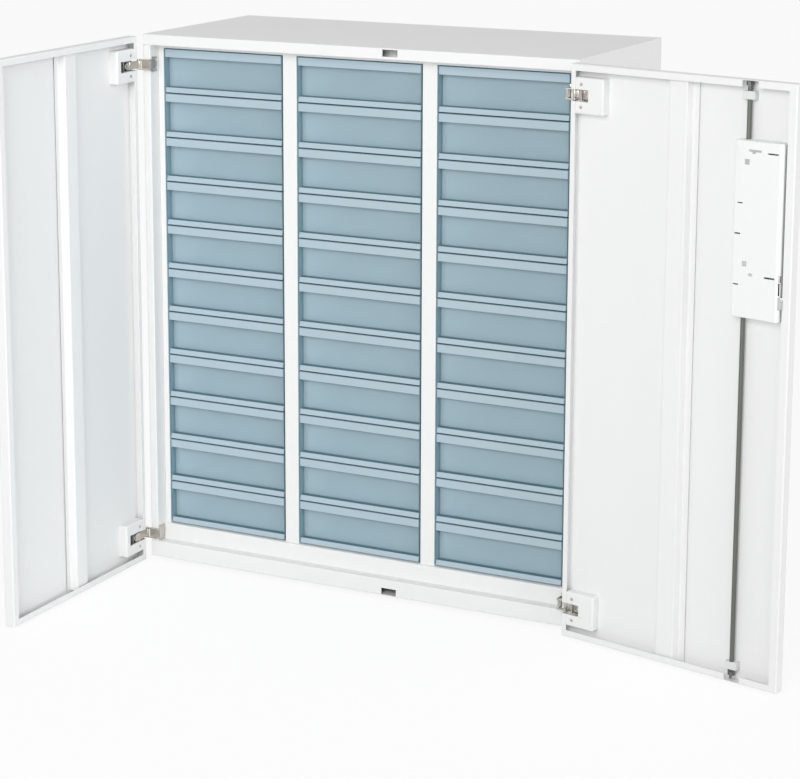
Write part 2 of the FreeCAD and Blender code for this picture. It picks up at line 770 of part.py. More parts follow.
def jamb_arms(word):
    """Plates on the inner side of the jamb with two leaves that reach out to the pin."""
    name = f"{word}_arm"
    side = -1 if word == "left" else 1
    pole_x, pole_y, _ = POLES[word]
    pole = (f"-{pole_x}" if side < 0 else pole_x, f"-{pole_y}")
    leg = mirrored(side, f"{JAMB_INSIDE} - sheet_fit - base_thickness", f"{JAMB_INSIDE} - sheet_fit")
    reach = mirrored(side, f"{JAMB_INSIDE} - sheet_fit - base_thickness", pole_x)
    near = f"-{pole_y} + leaf_half"
    far = f"-{pole_y} - leaf_half"
    arms = []
    for index, level in enumerate(HINGE_LEVELS):
        base_up = (f"{level} - base_height / 2", f"{level} + base_height / 2")
        parts = [box(f"{name}_base_{index}", leg, ("sheet", "sheet + base_length"), base_up)]
        outer = "(pocket_height / 2 - knuckle_gap)"
        leaves = (
            ("upper", f"{level} + {outer} - leaf_thickness", f"{level} + {outer}"),
            ("lower", f"{level} - {outer}", f"{level} - {outer} + leaf_thickness"),
        )
        for where, low, high in leaves:
            parts.append(box(f"{name}_leg_{where}_{index}", leg, (far, "sheet"), (low, high)))
            parts.append(box(f"{name}_leaf_{where}_{index}", reach, (far, near), (low, high)))
            parts.append(rod(f"{name}_eye_{where}_{index}", pole, "knuckle_radius", (low, high)))
        web_end = f"{pole_x} - knuckle_radius - web_gap"
        web_across = mirrored(side, f"{JAMB_INSIDE} - sheet_fit - base_thickness", web_end)
        web_up = (leaves[1][1], leaves[0][2])
        if word == "left":
            parts.append(box(f"{name}_web_{index}", web_across, (near, f"{near} + left_web"), web_up))
        else:
            parts.append(box(f"{name}_web_{index}", leg, (f"{near} + knuckle_gap", "sheet"), web_up))
        parts.append(rod(f"{name}_pin_{index}", pole, "pin_radius", web_up))
        arms.append(fused(f"{name}_{index}", parts))
    return arms


def arm_screws(side, word):
    """Screw heads that hold the hinge arms to one jamb."""
    screws = []
    face = f"({JAMB_INSIDE} - sheet_fit - base_thickness)"
    for index, level in enumerate(HINGE_LEVELS):
        for sign, where in (("+", "upper"), ("-", "lower")):
            head = doc.addObject("Part::Cylinder", f"arm_screw_{word}_{where}_{index}")
            bind(head, "Radius", "screw_radius")
            bind(head, "Height", "screw_head")
            turn = FreeCAD.Rotation(FreeCAD.Vector(0, 1, 0), QUARTER)
            head.Placement = FreeCAD.Placement(FreeCAD.Vector(), turn)
            bind(head, "Placement.Base.x", f"-{face}" if side < 0 else f"{face} - screw_head")
            bind(head, "Placement.Base.y", "sheet + base_length / 2")
            bind(head, "Placement.Base.z", f"{level} {sign} base_screw_offset")
            screws.append(head)
    return screws


def hinge_arms():
    """The four arms on the jambs, with their pins and screws."""
    pieces = jamb_arms("left") + jamb_arms("right") + arm_screws(-1, "left") + arm_screws(1, "right")
    return group("hinge_arms", pieces)


def lock_rod():
    """Round rod along the door with a claw at each end, level with the holes in the rails."""
    low = f"({BOTTOM_HOLE} - claw_height / 2)"
    high = f"({TOP_HOLE} + claw_height / 2)"
    pieces = [rod("rod_shaft", ROD_CENTRE, "rod_radius", (low, high))]
    angle = "(180 - claw_angle)"
    for where, claw_low in (("lower", low), ("upper", f"({high} - claw_height)")):
        claw_up = (claw_low, f"{claw_low} + claw_height")
        pieces.append(rod(f"claw_boss_{where}", ROD_CENTRE, "claw_boss", claw_up))
        claw = doc.addObject("Part::Box", f"claw_{where}")
        bind(claw, "Length", "claw_radius")
        bind(claw, "Width", "claw_thickness")
        bind(claw, "Height", "claw_height")
        turn = FreeCAD.Rotation(FreeCAD.Vector(0, 0, 1), QUARTER)
        claw.Placement = FreeCAD.Placement(FreeCAD.Vector(), turn)
        bind(claw, "Placement.Rotation.Angle", angle)
        bind(claw, "Placement.Base.x", f"{ROD_CENTRE[0]} + claw_thickness / 2 * sin({angle} * 1 deg)")
        bind(claw, "Placement.Base.y", f"{ROD_CENTRE[1]} - claw_thickness / 2 * cos({angle} * 1 deg)")
        bind(claw, "Placement.Base.z", claw_low)
        pieces.append(claw)
    return hang(fused("lock_rod", pieces), "right")


def rod_guides():
    """Blocks on the door sheet that the rods turn in."""
    guides = []
    levels = (f"({DOOR_TOP} - guide_from_end)", f"({DOOR_BOTTOM} + guide_from_end)")
    for index, level in enumerate(levels):
        up = (f"{level} - guide_height / 2", f"{level} + guide_height / 2")
        across = from_edge("right", f"{ROD_AT} - guide_width / 2", f"{ROD_AT} + guide_width / 2")
        depth = ("-door_depth + sheet", "-rod_sink + bracket_sheet")
        block = box(f"guide_block_{index}", across, depth, up)
        bore_up = (f"{up[0]} - sheet", f"{up[1]} + sheet")
        bore = rod(f"guide_bore_{index}", ROD_CENTRE, "rod_radius + guide_fit", bore_up)
        guides.append(cut(f"guide_{index}", block, [bore]))
    return hang(group("rod_guides", guides), "right")


def lock_case():
    """Plastic cover over the handle's back and the lock, open towards the door sheet."""
    high = f"({CASE_BOTTOM} + lock_case_height)"
    side = f"({CASE_END} - bolt_reach)"
    depth = ("-door_depth + sheet", "lock_case_proud")
    block = box("lock_case_block", from_edge("right", CASE_START, side), depth, (CASE_BOTTOM, high))
    hollow_across = from_edge("right", f"{CASE_START} + lock_case_wall", f"{side} - lock_case_wall")
    hollow_depth = ("-door_depth", "lock_case_proud - lock_case_wall")
    hollow_up = (f"{CASE_BOTTOM} + lock_case_wall", f"{high} - lock_case_wall")
    hollow = box("lock_case_hollow", hollow_across, hollow_depth, hollow_up)
    rod_up = (f"{CASE_BOTTOM} - sheet", f"{high} + sheet")
    rod_way = rod("lock_case_rod_way", ROD_CENTRE, "rod_radius + rod_way_gap", rod_up)
    bolt_way = bolt_block("lock_case_bolt_way", "bolt_way_gap")
    return hang(cut("lock_case", block, [hollow, rod_way, bolt_way]), "right")


def bolt_block(name, room):
    """The latch bolt's block, or the way that it slides in with some room round it."""
    across = from_edge("right", f"{CASE_END} - bolt_length - {room}", CASE_END)
    depth = (f"bolt_rise - bolt_thickness / 2 - {room}", f"bolt_rise + bolt_thickness / 2 + {room}")
    up = (f"{BOLT_BOTTOM} - {room}", f"{BOLT_BOTTOM} + bolt_height + {room}")
    return box(name, across, depth, up)


def latch_bolt():
    """Small bolt that comes out of the lock case at its free edge side, in front of the door's lip."""
    return hang(group("latch_bolt", [bolt_block("latch_bolt_block", "0")]), "right")


def handle_bowl():
    """Recessed bowl in the outer face with a flange round it and ears for the lever's pin."""
    face = "(-door_depth)"
    shell_across = from_edge("right", f"{BOWL_START} + sheet_fit", f"{BOWL_END} - sheet_fit")
    shell_up = (f"{BOWL_BOTTOM} + sheet_fit", f"{BOWL_TOP} - sheet_fit")
    shell = box("bowl_shell", shell_across, (face, f"{face} + bowl_depth"), shell_up)
    flange_across = from_edge("right", f"{BOWL_START} - bowl_flange", f"{BOWL_END} + bowl_flange")
    flange_up = (f"{BOWL_BOTTOM} - bowl_flange", f"{BOWL_TOP} + bowl_flange")
    flange = box("bowl_flange_plate", flange_across, (f"{face} - sheet", face), flange_up)
    wall = "(sheet_fit + bowl_wall)"
    inner_across = from_edge("right", f"{BOWL_START} + {wall}", f"{BOWL_END} - {wall}")
    inner_depth = (f"{face} - 2 * sheet", f"{face} + bowl_depth - bowl_wall")
    inner_up = (f"{BOWL_BOTTOM} + {wall}", f"{BOWL_TOP} - {wall}")
    inner = box("bowl_inside", inner_across, inner_depth, inner_up)
    pin_up = (f"{BOWL_BOTTOM} - sheet", f"{BOWL_TOP} + sheet")
    pin = rod("bowl_pin_way", LEVER_PIN, "lever_pin_radius + pin_fit", pin_up)
    return hang(cut("handle_bowl", fused("bowl_solid", [shell, flange]), [inner, pin]), "right")


def handle_lever():
    """Flat lever in the bowl that pulls out about an upright pin."""
    wall = "(sheet_fit + bowl_wall)"
    start = f"({BOWL_START} + {wall} + lever_pin_inset)"
    end = f"({BOWL_END} - {wall} - lever_finger_gap)"
    low = f"({BOWL_BOTTOM} + {wall} + lever_margin)"
    high = f"({BOWL_TOP} - {wall} - lever_margin)"
    depth = (f"{LEVER_PIN[1]} - lever_thickness / 2", f"{LEVER_PIN[1]} + lever_thickness / 2")
    plate = box("lever_plate", from_edge("right", start, end), depth, (low, high))
    barrel = rod("lever_barrel", LEVER_PIN, "lever_pin_radius + lever_thickness / 2", (low, high))
    pin_up = (f"{BOWL_BOTTOM} + sheet_fit", f"{BOWL_TOP} - sheet_fit")
    pin = rod("lever_pin", LEVER_PIN, "lever_pin_radius", pin_up)
    return hang(fused("handle_lever", [plate, barrel, pin]), "right")


def lock_barrel():
    """Round housing of the key lock, from the outer face into the lock case."""
    centre = (f"-{PLUG_AT}", PLUG_LEVEL)
    depth = ("-door_depth - barrel_proud", "-door_depth + barrel_length")
    housing = dowel("barrel_housing", centre, "barrel_radius - sheet_fit", depth)
    bore = dowel("barrel_bore", centre, "plug_radius + plug_fit", ("-2 * door_depth", "door_depth"))
    return hang(cut("lock_barrel", housing, [bore]), "right")


def lock_plug():
    """Turning plug of the key lock with its slot."""
    centre = (f"-{PLUG_AT}", PLUG_LEVEL)
    depth = ("-door_depth - barrel_proud", "-door_depth + barrel_length")
    plug = dowel("plug_solid", centre, "plug_radius", depth)
    slot_across = from_edge("right", f"{PLUG_AT} - key_slot / 2", f"{PLUG_AT} + key_slot / 2")
    slot_up = (f"{PLUG_LEVEL} - key_slot_length / 2", f"{PLUG_LEVEL} + key_slot_length / 2")
    slot_depth = ("-door_depth - 2 * barrel_proud", "-door_depth + barrel_length / 2")
    slot = box("plug_slot", slot_across, slot_depth, slot_up)
    return hang(cut("lock_plug", plug, [slot]), "right")


nodes = [side_panel("left_side_panel", -1), side_panel("right_side_panel", 1)]
nodes += [top_panel(), bottom_panel(), base_shelf(), back_panel()]
nodes += [partitions(), side_liners(), tray_runners(), adjuster_feet(), hinge_arms()]
for hand in ("left", "right"):
    nodes += [door_skin(hand), door_stiffener(hand), hinge_brackets(hand), hinge_fittings(hand)]
nodes += [lock_rod(), rod_guides(), lock_case(), latch_bolt()]
nodes += [handle_bowl(), handle_lever(), lock_barrel(), lock_plug()]

master = tray_master()
for column, letter in enumerate(COLUMNS):
    for row in range(ROWS):
        name = f"tray_{letter}{row + 1:02d}"
        nodes.append(placed(name, master, column_centre(column), row_bottom(row)))

doc.recompute()

for item in doc.Objects:
    if "Invalid" in item.State or "Error" in item.State:
        raise ValueError(f"{item.Label} failed: {item.State}")
for node in nodes:
    if node.Shape.isNull() or not node.Shape.isValid():
        raise ValueError(f"{node.Label} has no valid shape")
    node.Shape.exportStep(f"parts/{node.Label}.step")
    print(f"{node.Label}: {len(node.Shape.Solids)} solids, {node.Shape.Volume / 1000:.1f} cm3")
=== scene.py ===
"""Tray storage cabinet, dressed around its packed model. Lengths in code are in metres unless a name says otherwise."""
import math

import bmesh
import bpy
from bpy.props import FloatProperty, FloatVectorProperty, IntProperty, PointerProperty
from mathutils import Matrix, Vector


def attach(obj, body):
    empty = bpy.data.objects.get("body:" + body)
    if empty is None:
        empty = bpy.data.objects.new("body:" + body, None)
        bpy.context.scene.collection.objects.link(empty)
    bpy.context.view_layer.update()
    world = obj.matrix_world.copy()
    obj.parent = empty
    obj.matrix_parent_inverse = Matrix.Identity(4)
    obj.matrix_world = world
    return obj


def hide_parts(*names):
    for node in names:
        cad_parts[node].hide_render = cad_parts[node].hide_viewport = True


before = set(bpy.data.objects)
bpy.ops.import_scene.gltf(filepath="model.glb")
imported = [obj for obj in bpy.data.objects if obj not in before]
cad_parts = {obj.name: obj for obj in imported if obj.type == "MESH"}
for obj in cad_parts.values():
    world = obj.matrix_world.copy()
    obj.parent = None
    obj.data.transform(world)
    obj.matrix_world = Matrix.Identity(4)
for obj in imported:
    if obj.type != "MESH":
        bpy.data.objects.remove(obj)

bl_info = {
    "name": "Tray storage cabinet",
    "version": (1, 0, 0),
    "blender": (4, 5, 0),
    "location": "View3D > Sidebar > Cabinet",
    "description": "Steel cabinet with two hinged doors and three columns of see-through trays",
    "category": "Add Mesh",
}

COLUMNS = ["a", "b", "c"]


def length(name, description, millimetres):
    """A length property, its default given in millimetres."""
    return FloatProperty(name=name, description=description, default=millimetres / 1000, unit="LENGTH", precision=4)


def colour(name, description, value):
    """A colour property, its default in linear red, green and blue."""
    return FloatVectorProperty(
        name=name, description=description, default=(*value, 1.0), subtype="COLOR", size=4, min=0.0, max=1.0
    )


def degrees(name, description, value):
    """An angle property, its default given in degrees."""
    return FloatProperty(name=name, description=description, default=math.radians(value), subtype="ANGLE")


class CaseSizes(bpy.types.PropertyGroup):
    """Sizes of the steel case"""

    width: length("Width", "Outside width of the case", 900)
    depth: length("Depth", "Front of the jambs to the back", 400)
    bottom: length("Bottom", "Level of the underside of the shell", 10)
    top: length("Top", "Level of the top sheet", 1050)
    sheet: length("Sheet", "Thickness of the folded sheet", 1)
    bend: length("Bend", "Outside radius of a fold", 1.8)
    jamb: length("Jamb width", "Width of the front jamb", 16)
    jamb_return: length("Return", "Depth that the jamb and the top rail turn back", 29.8)
    flange: length("Back flange", "Width of the flange at the back", 15)
    top_rail: length("Top rail", "Height of the rail folded from the top", 21)
    bottom_rail: length("Bottom rail", "Height of the rail folded from the bottom", 32)
    plinth: length("Plinth setback", "Front of the case to the base shelf's plate", 22)
    shelf: length("Shelf level", "Level of the base shelf", 74)
    fit: length("Fit", "Clearance between sheets", 0.2)
    hole_at: length("Latch hole place", "Centre line to the middle of a latch hole", 79.5)
    hole_width: length("Latch hole width", "Width of a latch hole", 31)
    hole_height: length("Latch hole height", "Height of a latch hole", 13)
    hole_drop: length("Upper hole", "Top of the case to the middle of the upper hole", 9)
    hole_rise: length("Lower hole", "Bottom of the case to the middle of the lower hole", 8)
    foot_side: length("Foot from side", "Side of the case to a foot", 80)
    foot_end: length("Foot from end", "Front or back of the case to a foot", 70)
    foot_radius: length("Foot radius", "Radius of a foot's pad", 15)
    foot_pad: length("Foot pad", "Height of a foot's pad", 6)
    stud_radius: length("Stud radius", "Radius of a foot's stud", 4)
    stud: length("Stud", "Length of a foot's stud", 34)
    nut_radius: length("Nut radius", "Corner radius of the welded nut", 8)
    nut: length("Nut height", "Height of the welded nut", 7)


class TraySizes(bpy.types.PropertyGroup):
    """Sizes and places of the trays"""

    rows: IntProperty(name="Rows", description="Trays in a column", default=11)
    setback: length("Setback", "Front of the case to the trays' fronts", 30)
    column_pitch: length("Column pitch", "Middle of one column to the next", 291.5)
    row_pitch: length("Row pitch", "One tray to the next", 86)
    first_row: length("Lowest tray", "Level of the underside of the lowest tray", 83.6)
    width: length("Front width", "Width of a tray's front", 258.5)
    front: length("Front height", "Bin's underside to the top of a tray's front", 77)
    apron: length("Apron", "Front below the bin's underside", 7)
    slope: length("Ledge slope", "How far the ledge leans back at its top", 2.5)
    # The dark lines are painted shade: round the window and along the lip's top.
    line: length("Edge line", "Width of the dark lines along the window and the lip", 1.3)
    front_depth: length("Front depth", "Depth of a tray's front", 15)
    wall: length("Wall", "Thickness of the moulding", 2)
    recess: length("Window recess", "Depth of the pane behind the front", 13)
    lip: length("Lip", "Height of the finger lip", 16)
    ledge: length("Ledge", "Thickness under the window", 2.5)
    bin_width: length("Bin width", "Width of the bin", 242)
    bin_height: length("Bin height", "Height of the bin", 62)
    bin_length: length("Bin length", "Length of the bin behind the front", 340)
    rim: length("Rim", "Width of the side rims", 7)
    side_gap: length("Side gap", "Tray front to the upright beside it", 1.5)
    runner_reach: length("Runner reach", "Width of a runner's shelf", 8)
    runner_leg: length("Runner leg", "Height of a runner's leg", 10)
    runner_sheet: length("Runner sheet", "Thickness of a runner", 1.2)
    runner_length: length("Runner length", "Length of a runner", 330)
    runner_gap: length("Runner gap", "Clearance of a tray on its runners", 0.3)


class DoorSizes(bpy.types.PropertyGroup):
    """Sizes and places of the doors and their hinges"""

    width: length("Width", "Width of a door", 447)
    depth: length("Depth", "Thickness of a door", 20)
    gap: length("Gap", "Door to the front of the jambs", 2)
    edge_inset: length("Edge inset", "Side of the case to the door's hinge edge", 1.5)
    bottom: length("Bottom", "Level of a door's lower edge", 5)
    top: length("Top", "Level of a door's upper edge", 1047)
    edge_lip: length("Hinge lip", "Lip at the hinge edge", 10)
    end_lip: length("End lip", "Lip at the top and bottom", 12)
    free_lip: length("Free lip", "Lip at the free edge", 15)
    hat_start: length("Stiffener start", "Hinge edge to the stiffener", 188)
    hat_foot: length("Stiffener foot", "Width of the foot towards the hinge edge", 6)
    hat_far_foot: length("Stiffener far foot", "Width of the foot towards the free edge", 12.5)
    hat_crown: length("Stiffener crown", "Width of the stiffener's crown", 35)
    hat_slope: length("Stiffener slope", "Run of a sloped side of the stiffener", 5.2)
    hat_seam: length("Stiffener seam", "Lift of the far foot's edge from the sheet", 2.4)
    hat_sink: length("Stiffener sink", "Inner side of the door to the crown", 5)
    hat_gap: length("Stiffener gap", "End of the stiffener to the door's edge fold", 4)
    left_open: degrees("Left opening", "Angle of the left door at rest", 90)
    right_open: degrees("Right opening", "Angle of the right door at rest", 167.5)
    left_pole_out: length("Left pole", "Left hinge axis outside the case's side", 6.9)
    left_pole_front: length("Left pole front", "Left hinge axis in front of the jamb", 4.4)
    right_pole_in: length("Right pole", "Right hinge axis inside the case's side", 1)
    right_pole_front: length("Right pole front", "Right hinge axis in front of the jamb", 16)
    upper_hinge: length("Upper hinge", "Level of the upper hinges", 992)
    lower_hinge: length("Lower hinge", "Level of the lower hinges", 58)
    pocket: length("Pocket length", "Length of the hinge pocket", 55.7)
    right_pocket: length("Right pocket length", "Length of the right door's hinge pocket", 46)
    pocket_height: length("Pocket height", "Height of the hinge pocket", 21)
    bracket: length("Bracket end", "Hinge edge to the end of a hinge bracket", 68)
    bracket_height: length("Bracket height", "Height of a hinge bracket", 64.6)
    bracket_sheet: length("Bracket sheet", "Thickness of a hinge bracket", 1.2)
    bracket_sink: length("Bracket sink", "Inner side of the door to the bracket", 0.6)
    base_height: length("Arm plate height", "Height of an arm's plate on the jamb", 29)
    base_length: length("Arm plate length", "Length of an arm's plate on the jamb", 20.5)
    base_sheet: length("Arm plate", "Thickness of an arm's plate", 2.4)
    leaf: length("Leaf", "Thickness of an arm's leaf", 2.4)
    leaf_half: length("Leaf half width", "Half the width of an arm's leaf", 2.6)
    knuckle: length("Knuckle radius", "Radius of the knuckle on the pin", 3.6)
    pin: length("Pin radius", "Radius of the hinge pin", 1.5)
    tongue: length("Tongue", "Thickness of a cup's tongue", 3)
    knuckle_gap: length("Knuckle gap", "Clearance between leaf and knuckle", 0.3)
    cup_start: length("Cup start", "Hinge edge to the cup", 18.5)
    cup_end: length("Cup end", "Hinge edge to the far end of the cup", 46)
    right_cup_end: length("Right cup end", "Hinge edge to the far end of a right cup", 35)
    left_cup_sink: length("Left cup sink", "Inner side of the left door to its cups", 0.8)
    right_cup_sink: length("Right cup sink", "Inner side of the right door to its cups", 5)
    screw: length("Screw radius", "Radius of a screw head", 3)
    screw_head: length("Screw head", "Height of a screw head", 1)
    screw_at: length("Bracket screw", "Hinge edge to a bracket screw", 22)
    screw_offset: length("Bracket screw offset", "Hinge level to a bracket screw", 20)
    arm_screw_offset: length("Arm screw offset", "Hinge level to an arm's screw", 10.5)


class LockSizes(bpy.types.PropertyGroup):
    """Sizes and places of the lock parts on the right door, from its hinge edge"""

    rod_at: length("Rod place", "Hinge edge to the rod", 352)
    rod: length("Rod radius", "Radius of the rod", 4)
    rod_sink: length("Rod sink", "Inner side of the door to the rod", 7)
    claw_radius: length("Claw reach", "Rod axis to a claw's tip", 20)
    claw_height: length("Claw height", "Height of a claw", 8)
    claw: length("Claw thickness", "Thickness of a claw", 4)
    claw_angle: degrees("Claw angle", "Angle of the claws to the door", 64)
    boss: length("Claw boss", "Radius of a claw's boss", 6.5)
    slot_margin: length("Slot margin", "Room of a claw in its slot", 2)
    guide_width: length("Guide width", "Width of a rod guide", 24)
    guide_height: length("Guide height", "Height of a rod guide", 14)
    guide_end: length("Guide place", "End of the door to a rod guide", 26)
    case_start: length("Case start", "Hinge edge to the lock case", 338)
    case_width: length("Case width", "Width of the lock case", 90)
    case_bottom: length("Case bottom", "Level of the lock case's lower end", 650)
    case_height: length("Case height", "Height of the lock case", 298)
    case_proud: length("Case proud", "Lock case beyond the inner side of the door", 7)
    case_wall: length("Case wall", "Wall of the lock case", 2)
    bowl_start: length("Bowl start", "Hinge edge to the handle bowl", 366)
    bowl_width: length("Bowl width", "Width of the handle bowl", 60)
    bowl_bottom: length("Bowl bottom", "Level of the bowl's lower end", 720)
    bowl_height: length("Bowl height", "Height of the handle bowl", 160)
    bowl_depth: length("Bowl depth", "Depth of the handle bowl", 11)
    bowl_wall: length("Bowl wall", "Wall of the handle bowl", 1.5)
    bowl_flange: length("Bowl flange", "Width of the bowl's flange", 3)
    lever: length("Lever thickness", "Thickness of the handle lever", 3)
    lever_margin: length("Lever margin", "Lever to the ends of the bowl", 3)
    lever_pin: length("Lever pin", "Radius of the lever's pin", 1.5)
    pin_inset: length("Pin inset", "Side of the bowl to the lever's pin", 5)
    finger_gap: length("Finger gap", "Lever to the far side of the bowl", 16)
    plug: length("Plug radius", "Radius of the lock plug", 7)
    barrel: length("Barrel radius", "Radius of the lock barrel", 9.8)
    barrel_length: length("Barrel length", "Length of the lock barrel behind the outer face", 18)
    barrel_proud: length("Barrel proud", "Lock barrel beyond the outer face", 1.5)
    plug_at: length("Plug place", "Hinge edge to the lock plug", 396)
    plug_level: length("Plug level", "Level of the lock plug", 912)
    key_slot: length("Key slot", "Width of the key slot", 1.6)
    bolt_reach: length("Bolt reach", "Latch bolt beyond the lock case", 6)
    bolt_height: length("Bolt height", "Height of the latch bolt", 21)
    bolt: length("Bolt thickness", "Thickness of the latch bolt", 4.2)
    bolt_rise: length("Bolt rise", "Inner side of the door to the middle of the bolt", 2.5)
    bolt_bottom: length("Bolt level", "Level of the latch bolt's underside", 672)
    bolt_length: length("Bolt length", "Length of the latch bolt", 26)


class Finishes(bpy.types.PropertyGroup):
    """Colours of the cabinet's surfaces"""

    paint: colour("Paint", "White powder coat of the steel", (0.86, 0.865, 0.86))
    plastic: colour("White plastic", "Moulded lock case", (0.88, 0.89, 0.89))
    pane: colour("Tray pane", "See-through plastic of the tray fronts", (0.60, 0.80, 0.90))
    # Painted shade: the dark teal of the lines round the window, the ledge's top, the lip's top strip and the side
    # frames of a tray front.
    edge: colour("Tray edge", "Deep edges of the tray fronts", (0.14, 0.24, 0.285))
    lip: colour("Tray lip", "Lip and ledge of the tray fronts", (0.43, 0.545, 0.615))
    # Painted light: the bin's walls are a lighter copy of the tray plastic, standing in for light inside the bin.
    bin: colour("Tray bin", "Walls of the bin behind the pane", (0.82, 0.92, 0.95))
    # Painted shade: the bin's floor is a darker copy of the tray plastic.
    base: colour("Tray base", "Bottom of the bin", (0.42, 0.58, 0.66))
    # Painted shade: the inner sides of the window's recess are a darker copy of the tray plastic.
    reveal: colour("Tray reveal", "Inner sides of the tray fronts", (0.24, 0.38, 0.45))
    nickel: colour("Nickel", "Plated hinge parts", (0.62, 0.59, 0.55))
    # Painted shade: the rod's dark grey stands in for the shade on a steel rod in the door's pan.
    rod: colour("Rod", "Dark zinc of the lock rod", (0.17, 0.175, 0.16))
    guide: colour("Guide", "Plastic of the rod guides", (0.75, 0.76, 0.76))
    handle: colour("Handle", "Moulded handle bowl and lever", (0.55, 0.56, 0.57))
    lock: colour("Lock metal", "Barrel, plug and bolt", (0.56, 0.55, 0.52))
    foot: colour("Foot", "Pads of the adjuster feet", (0.035, 0.035, 0.037))
    floor: colour("Floor", "Floor round the cabinet", (0.85, 0.85, 0.85))


class StageSettings(bpy.types.PropertyGroup):
    """Floor, lamps and camera"""

    floor_size: length("Floor", "Side of the floor", 30000)
    room: FloatProperty(name="Room light", description="Strength of the even light", default=0.46)
    front: FloatProperty(name="Front light", description="Power of the soft box in front, in watts", default=205.0)
    front_size: length("Soft box", "Side of the soft box in front", 3200)
    side: FloatProperty(name="Side light", description="Strength of the low lamp at the right", default=1.15)
    softness: degrees("Softness", "Angle that the side lamp fills", 35)
    camera_x: length("Camera across", "Centre line to the camera", 2068.36)
    camera_y: length("Camera depth", "Front of the case to the camera", -3906.02)
    camera_z: length("Camera level", "Floor to the camera", 1548.83)
    camera_turn: degrees("Camera turn", "Turn of the camera from straight ahead", 27.69)
    camera_tilt: degrees("Camera tilt", "Tilt of the camera below level", 11.69)
    lens: FloatProperty(name="Lens", description="Focal length in millimetres", default=109.34)
    shift_x: FloatProperty(name="Shift across", description="Lens shift across", default=0.05)
    shift_y: FloatProperty(name="Shift up", description="Lens shift up", default=-0.15)


def fresh():
    """Leave no object selected, so that the next operator acts on nothing else."""
    bpy.ops.object.select_all(action="DESELECT")


def choose(piece):
    """Make one object the only selected and the active one."""
    fresh()
    piece.select_set(True)
    bpy.context.view_layer.objects.active = piece


def settle(piece, name):
    """Name a new primitive and put its place into its mesh."""
    piece.name = name
    piece.data.name = name
    choose(piece)
    bpy.ops.object.transform_apply(location=True, rotation=True, scale=True)
    return piece


def block(name, low, high):
    """A box between two corners."""
    fresh()
    low, high = Vector(low), Vector(high)
    bpy.ops.mesh.primitive_cube_add(size=1, location=(low + high) / 2, scale=high - low)
    return settle(bpy.context.object, name)


AXES = {"X": (0, math.pi / 2, 0), "Y": (-math.pi / 2, 0, 0), "Z": (0, 0, 0)}


def turned(name, middle, radius, span, axis="Z", sides=32):
    """A round bar about an axis. The middle gives the two other coordinates, in order."""
    place = list(middle)
    place.insert("XYZ".index(axis), (span[0] + span[1]) / 2)
    fresh()
    bpy.ops.mesh.primitive_cylinder_add(
        vertices=sides, radius=radius, depth=span[1] - span[0], location=place, rotation=AXES[axis]
    )
    return settle(bpy.context.object, name)


def begin(piece, kind):
    """Enter edit mode with faces or edges to pick."""
    choose(piece)
    bpy.ops.object.mode_set(mode="EDIT")
    bpy.ops.mesh.select_mode(type=kind)
    bpy.ops.mesh.select_all(action="DESELECT")


def end():
    """Leave edit mode."""
    bpy.ops.object.mode_set(mode="OBJECT")


def pick_faces(piece, test):
    """Select the faces whose middle and normal pass a test."""
    bpy.ops.mesh.select_mode(type="FACE")
    bpy.ops.mesh.select_all(action="DESELECT")
    mesh = bmesh.from_edit_mesh(piece.data)
    found = [face for face in mesh.faces if test(face.calc_center_median(), face.normal)]
    if not found:
        raise RuntimeError(f"no face of {piece.name} was found")
    for face in found:
        face.select_set(True)
    bmesh.update_edit_mesh(piece.data)


def pick_edges(piece, test):
    """Select the edges whose middle and direction pass a test."""
    bpy.ops.mesh.select_mode(type="EDGE")
    bpy.ops.mesh.select_all(action="DESELECT")
    mesh = bmesh.from_edit_mesh(piece.data)
    found = []
    for edge in mesh.edges:
        one, other = edge.verts[0].co, edge.verts[1].co
        if test((one + other) / 2, (other - one).normalized()):
            found.append(edge)
    if not found:
        raise RuntimeError(f"no edge of {piece.name} was found")
    for edge in found:
        edge.select_set(True)
    bmesh.update_edit_mesh(piece.data)


def slide(value):
    """Move what is selected in edit mode."""
    bpy.ops.transform.translate(value=value)


def draw_out(value):
    """Extrude what is selected in edit mode."""
    bpy.ops.mesh.extrude_region_move(TRANSFORM_OT_translate={"value": value})


def chamfer(width, segments=3):
    """Round the selected edges in edit mode."""
    bpy.ops.mesh.bevel(offset=width, segments=segments, affect="EDGES")


def applied(piece, kind, **settings):
    """Add a modifier, set it and apply it."""
    change = piece.modifiers.new(kind.title(), kind)
    for word, value in settings.items():
        setattr(change, word, value)
    choose(piece)
    bpy.ops.object.modifier_apply(modifier=change.name)
    return piece


def thickened(piece, sheet):
    """Give a surface the thickness of its sheet, away from its outer face."""
    return applied(piece, "SOLIDIFY", thickness=sheet, offset=-1, use_even_offset=True)


def softened(piece, width, segments=2, angle=30, clamp=True):
    """Round every sharp edge a little."""
    return applied(
        piece,
        "BEVEL",
        width=width,
        segments=segments,
        limit_method="ANGLE",
        angle_limit=math.radians(angle),
        use_clamp_overlap=clamp,
        harden_normals=False,
    )


def carved(piece, tools):
    """Take the shapes of other objects out of a piece."""
    for tool in tools:
        applied(piece, "BOOLEAN", object=tool, operation="DIFFERENCE", solver="EXACT")
        bpy.data.objects.remove(tool)
    return piece


def welded(piece, others):
    """Unite overlapping solids into one."""
    for other in others:
        applied(piece, "BOOLEAN", object=other, operation="UNION", solver="EXACT")
        bpy.data.objects.remove(other)
    return piece


def joined(name, pieces):
    """Several separate solids in one object."""
    fresh()
    for piece in pieces:
        piece.select_set(True)
    bpy.context.view_layer.objects.active = pieces[0]
    if len(pieces) > 1:
        bpy.ops.object.join()
    return settle(bpy.context.object, name)


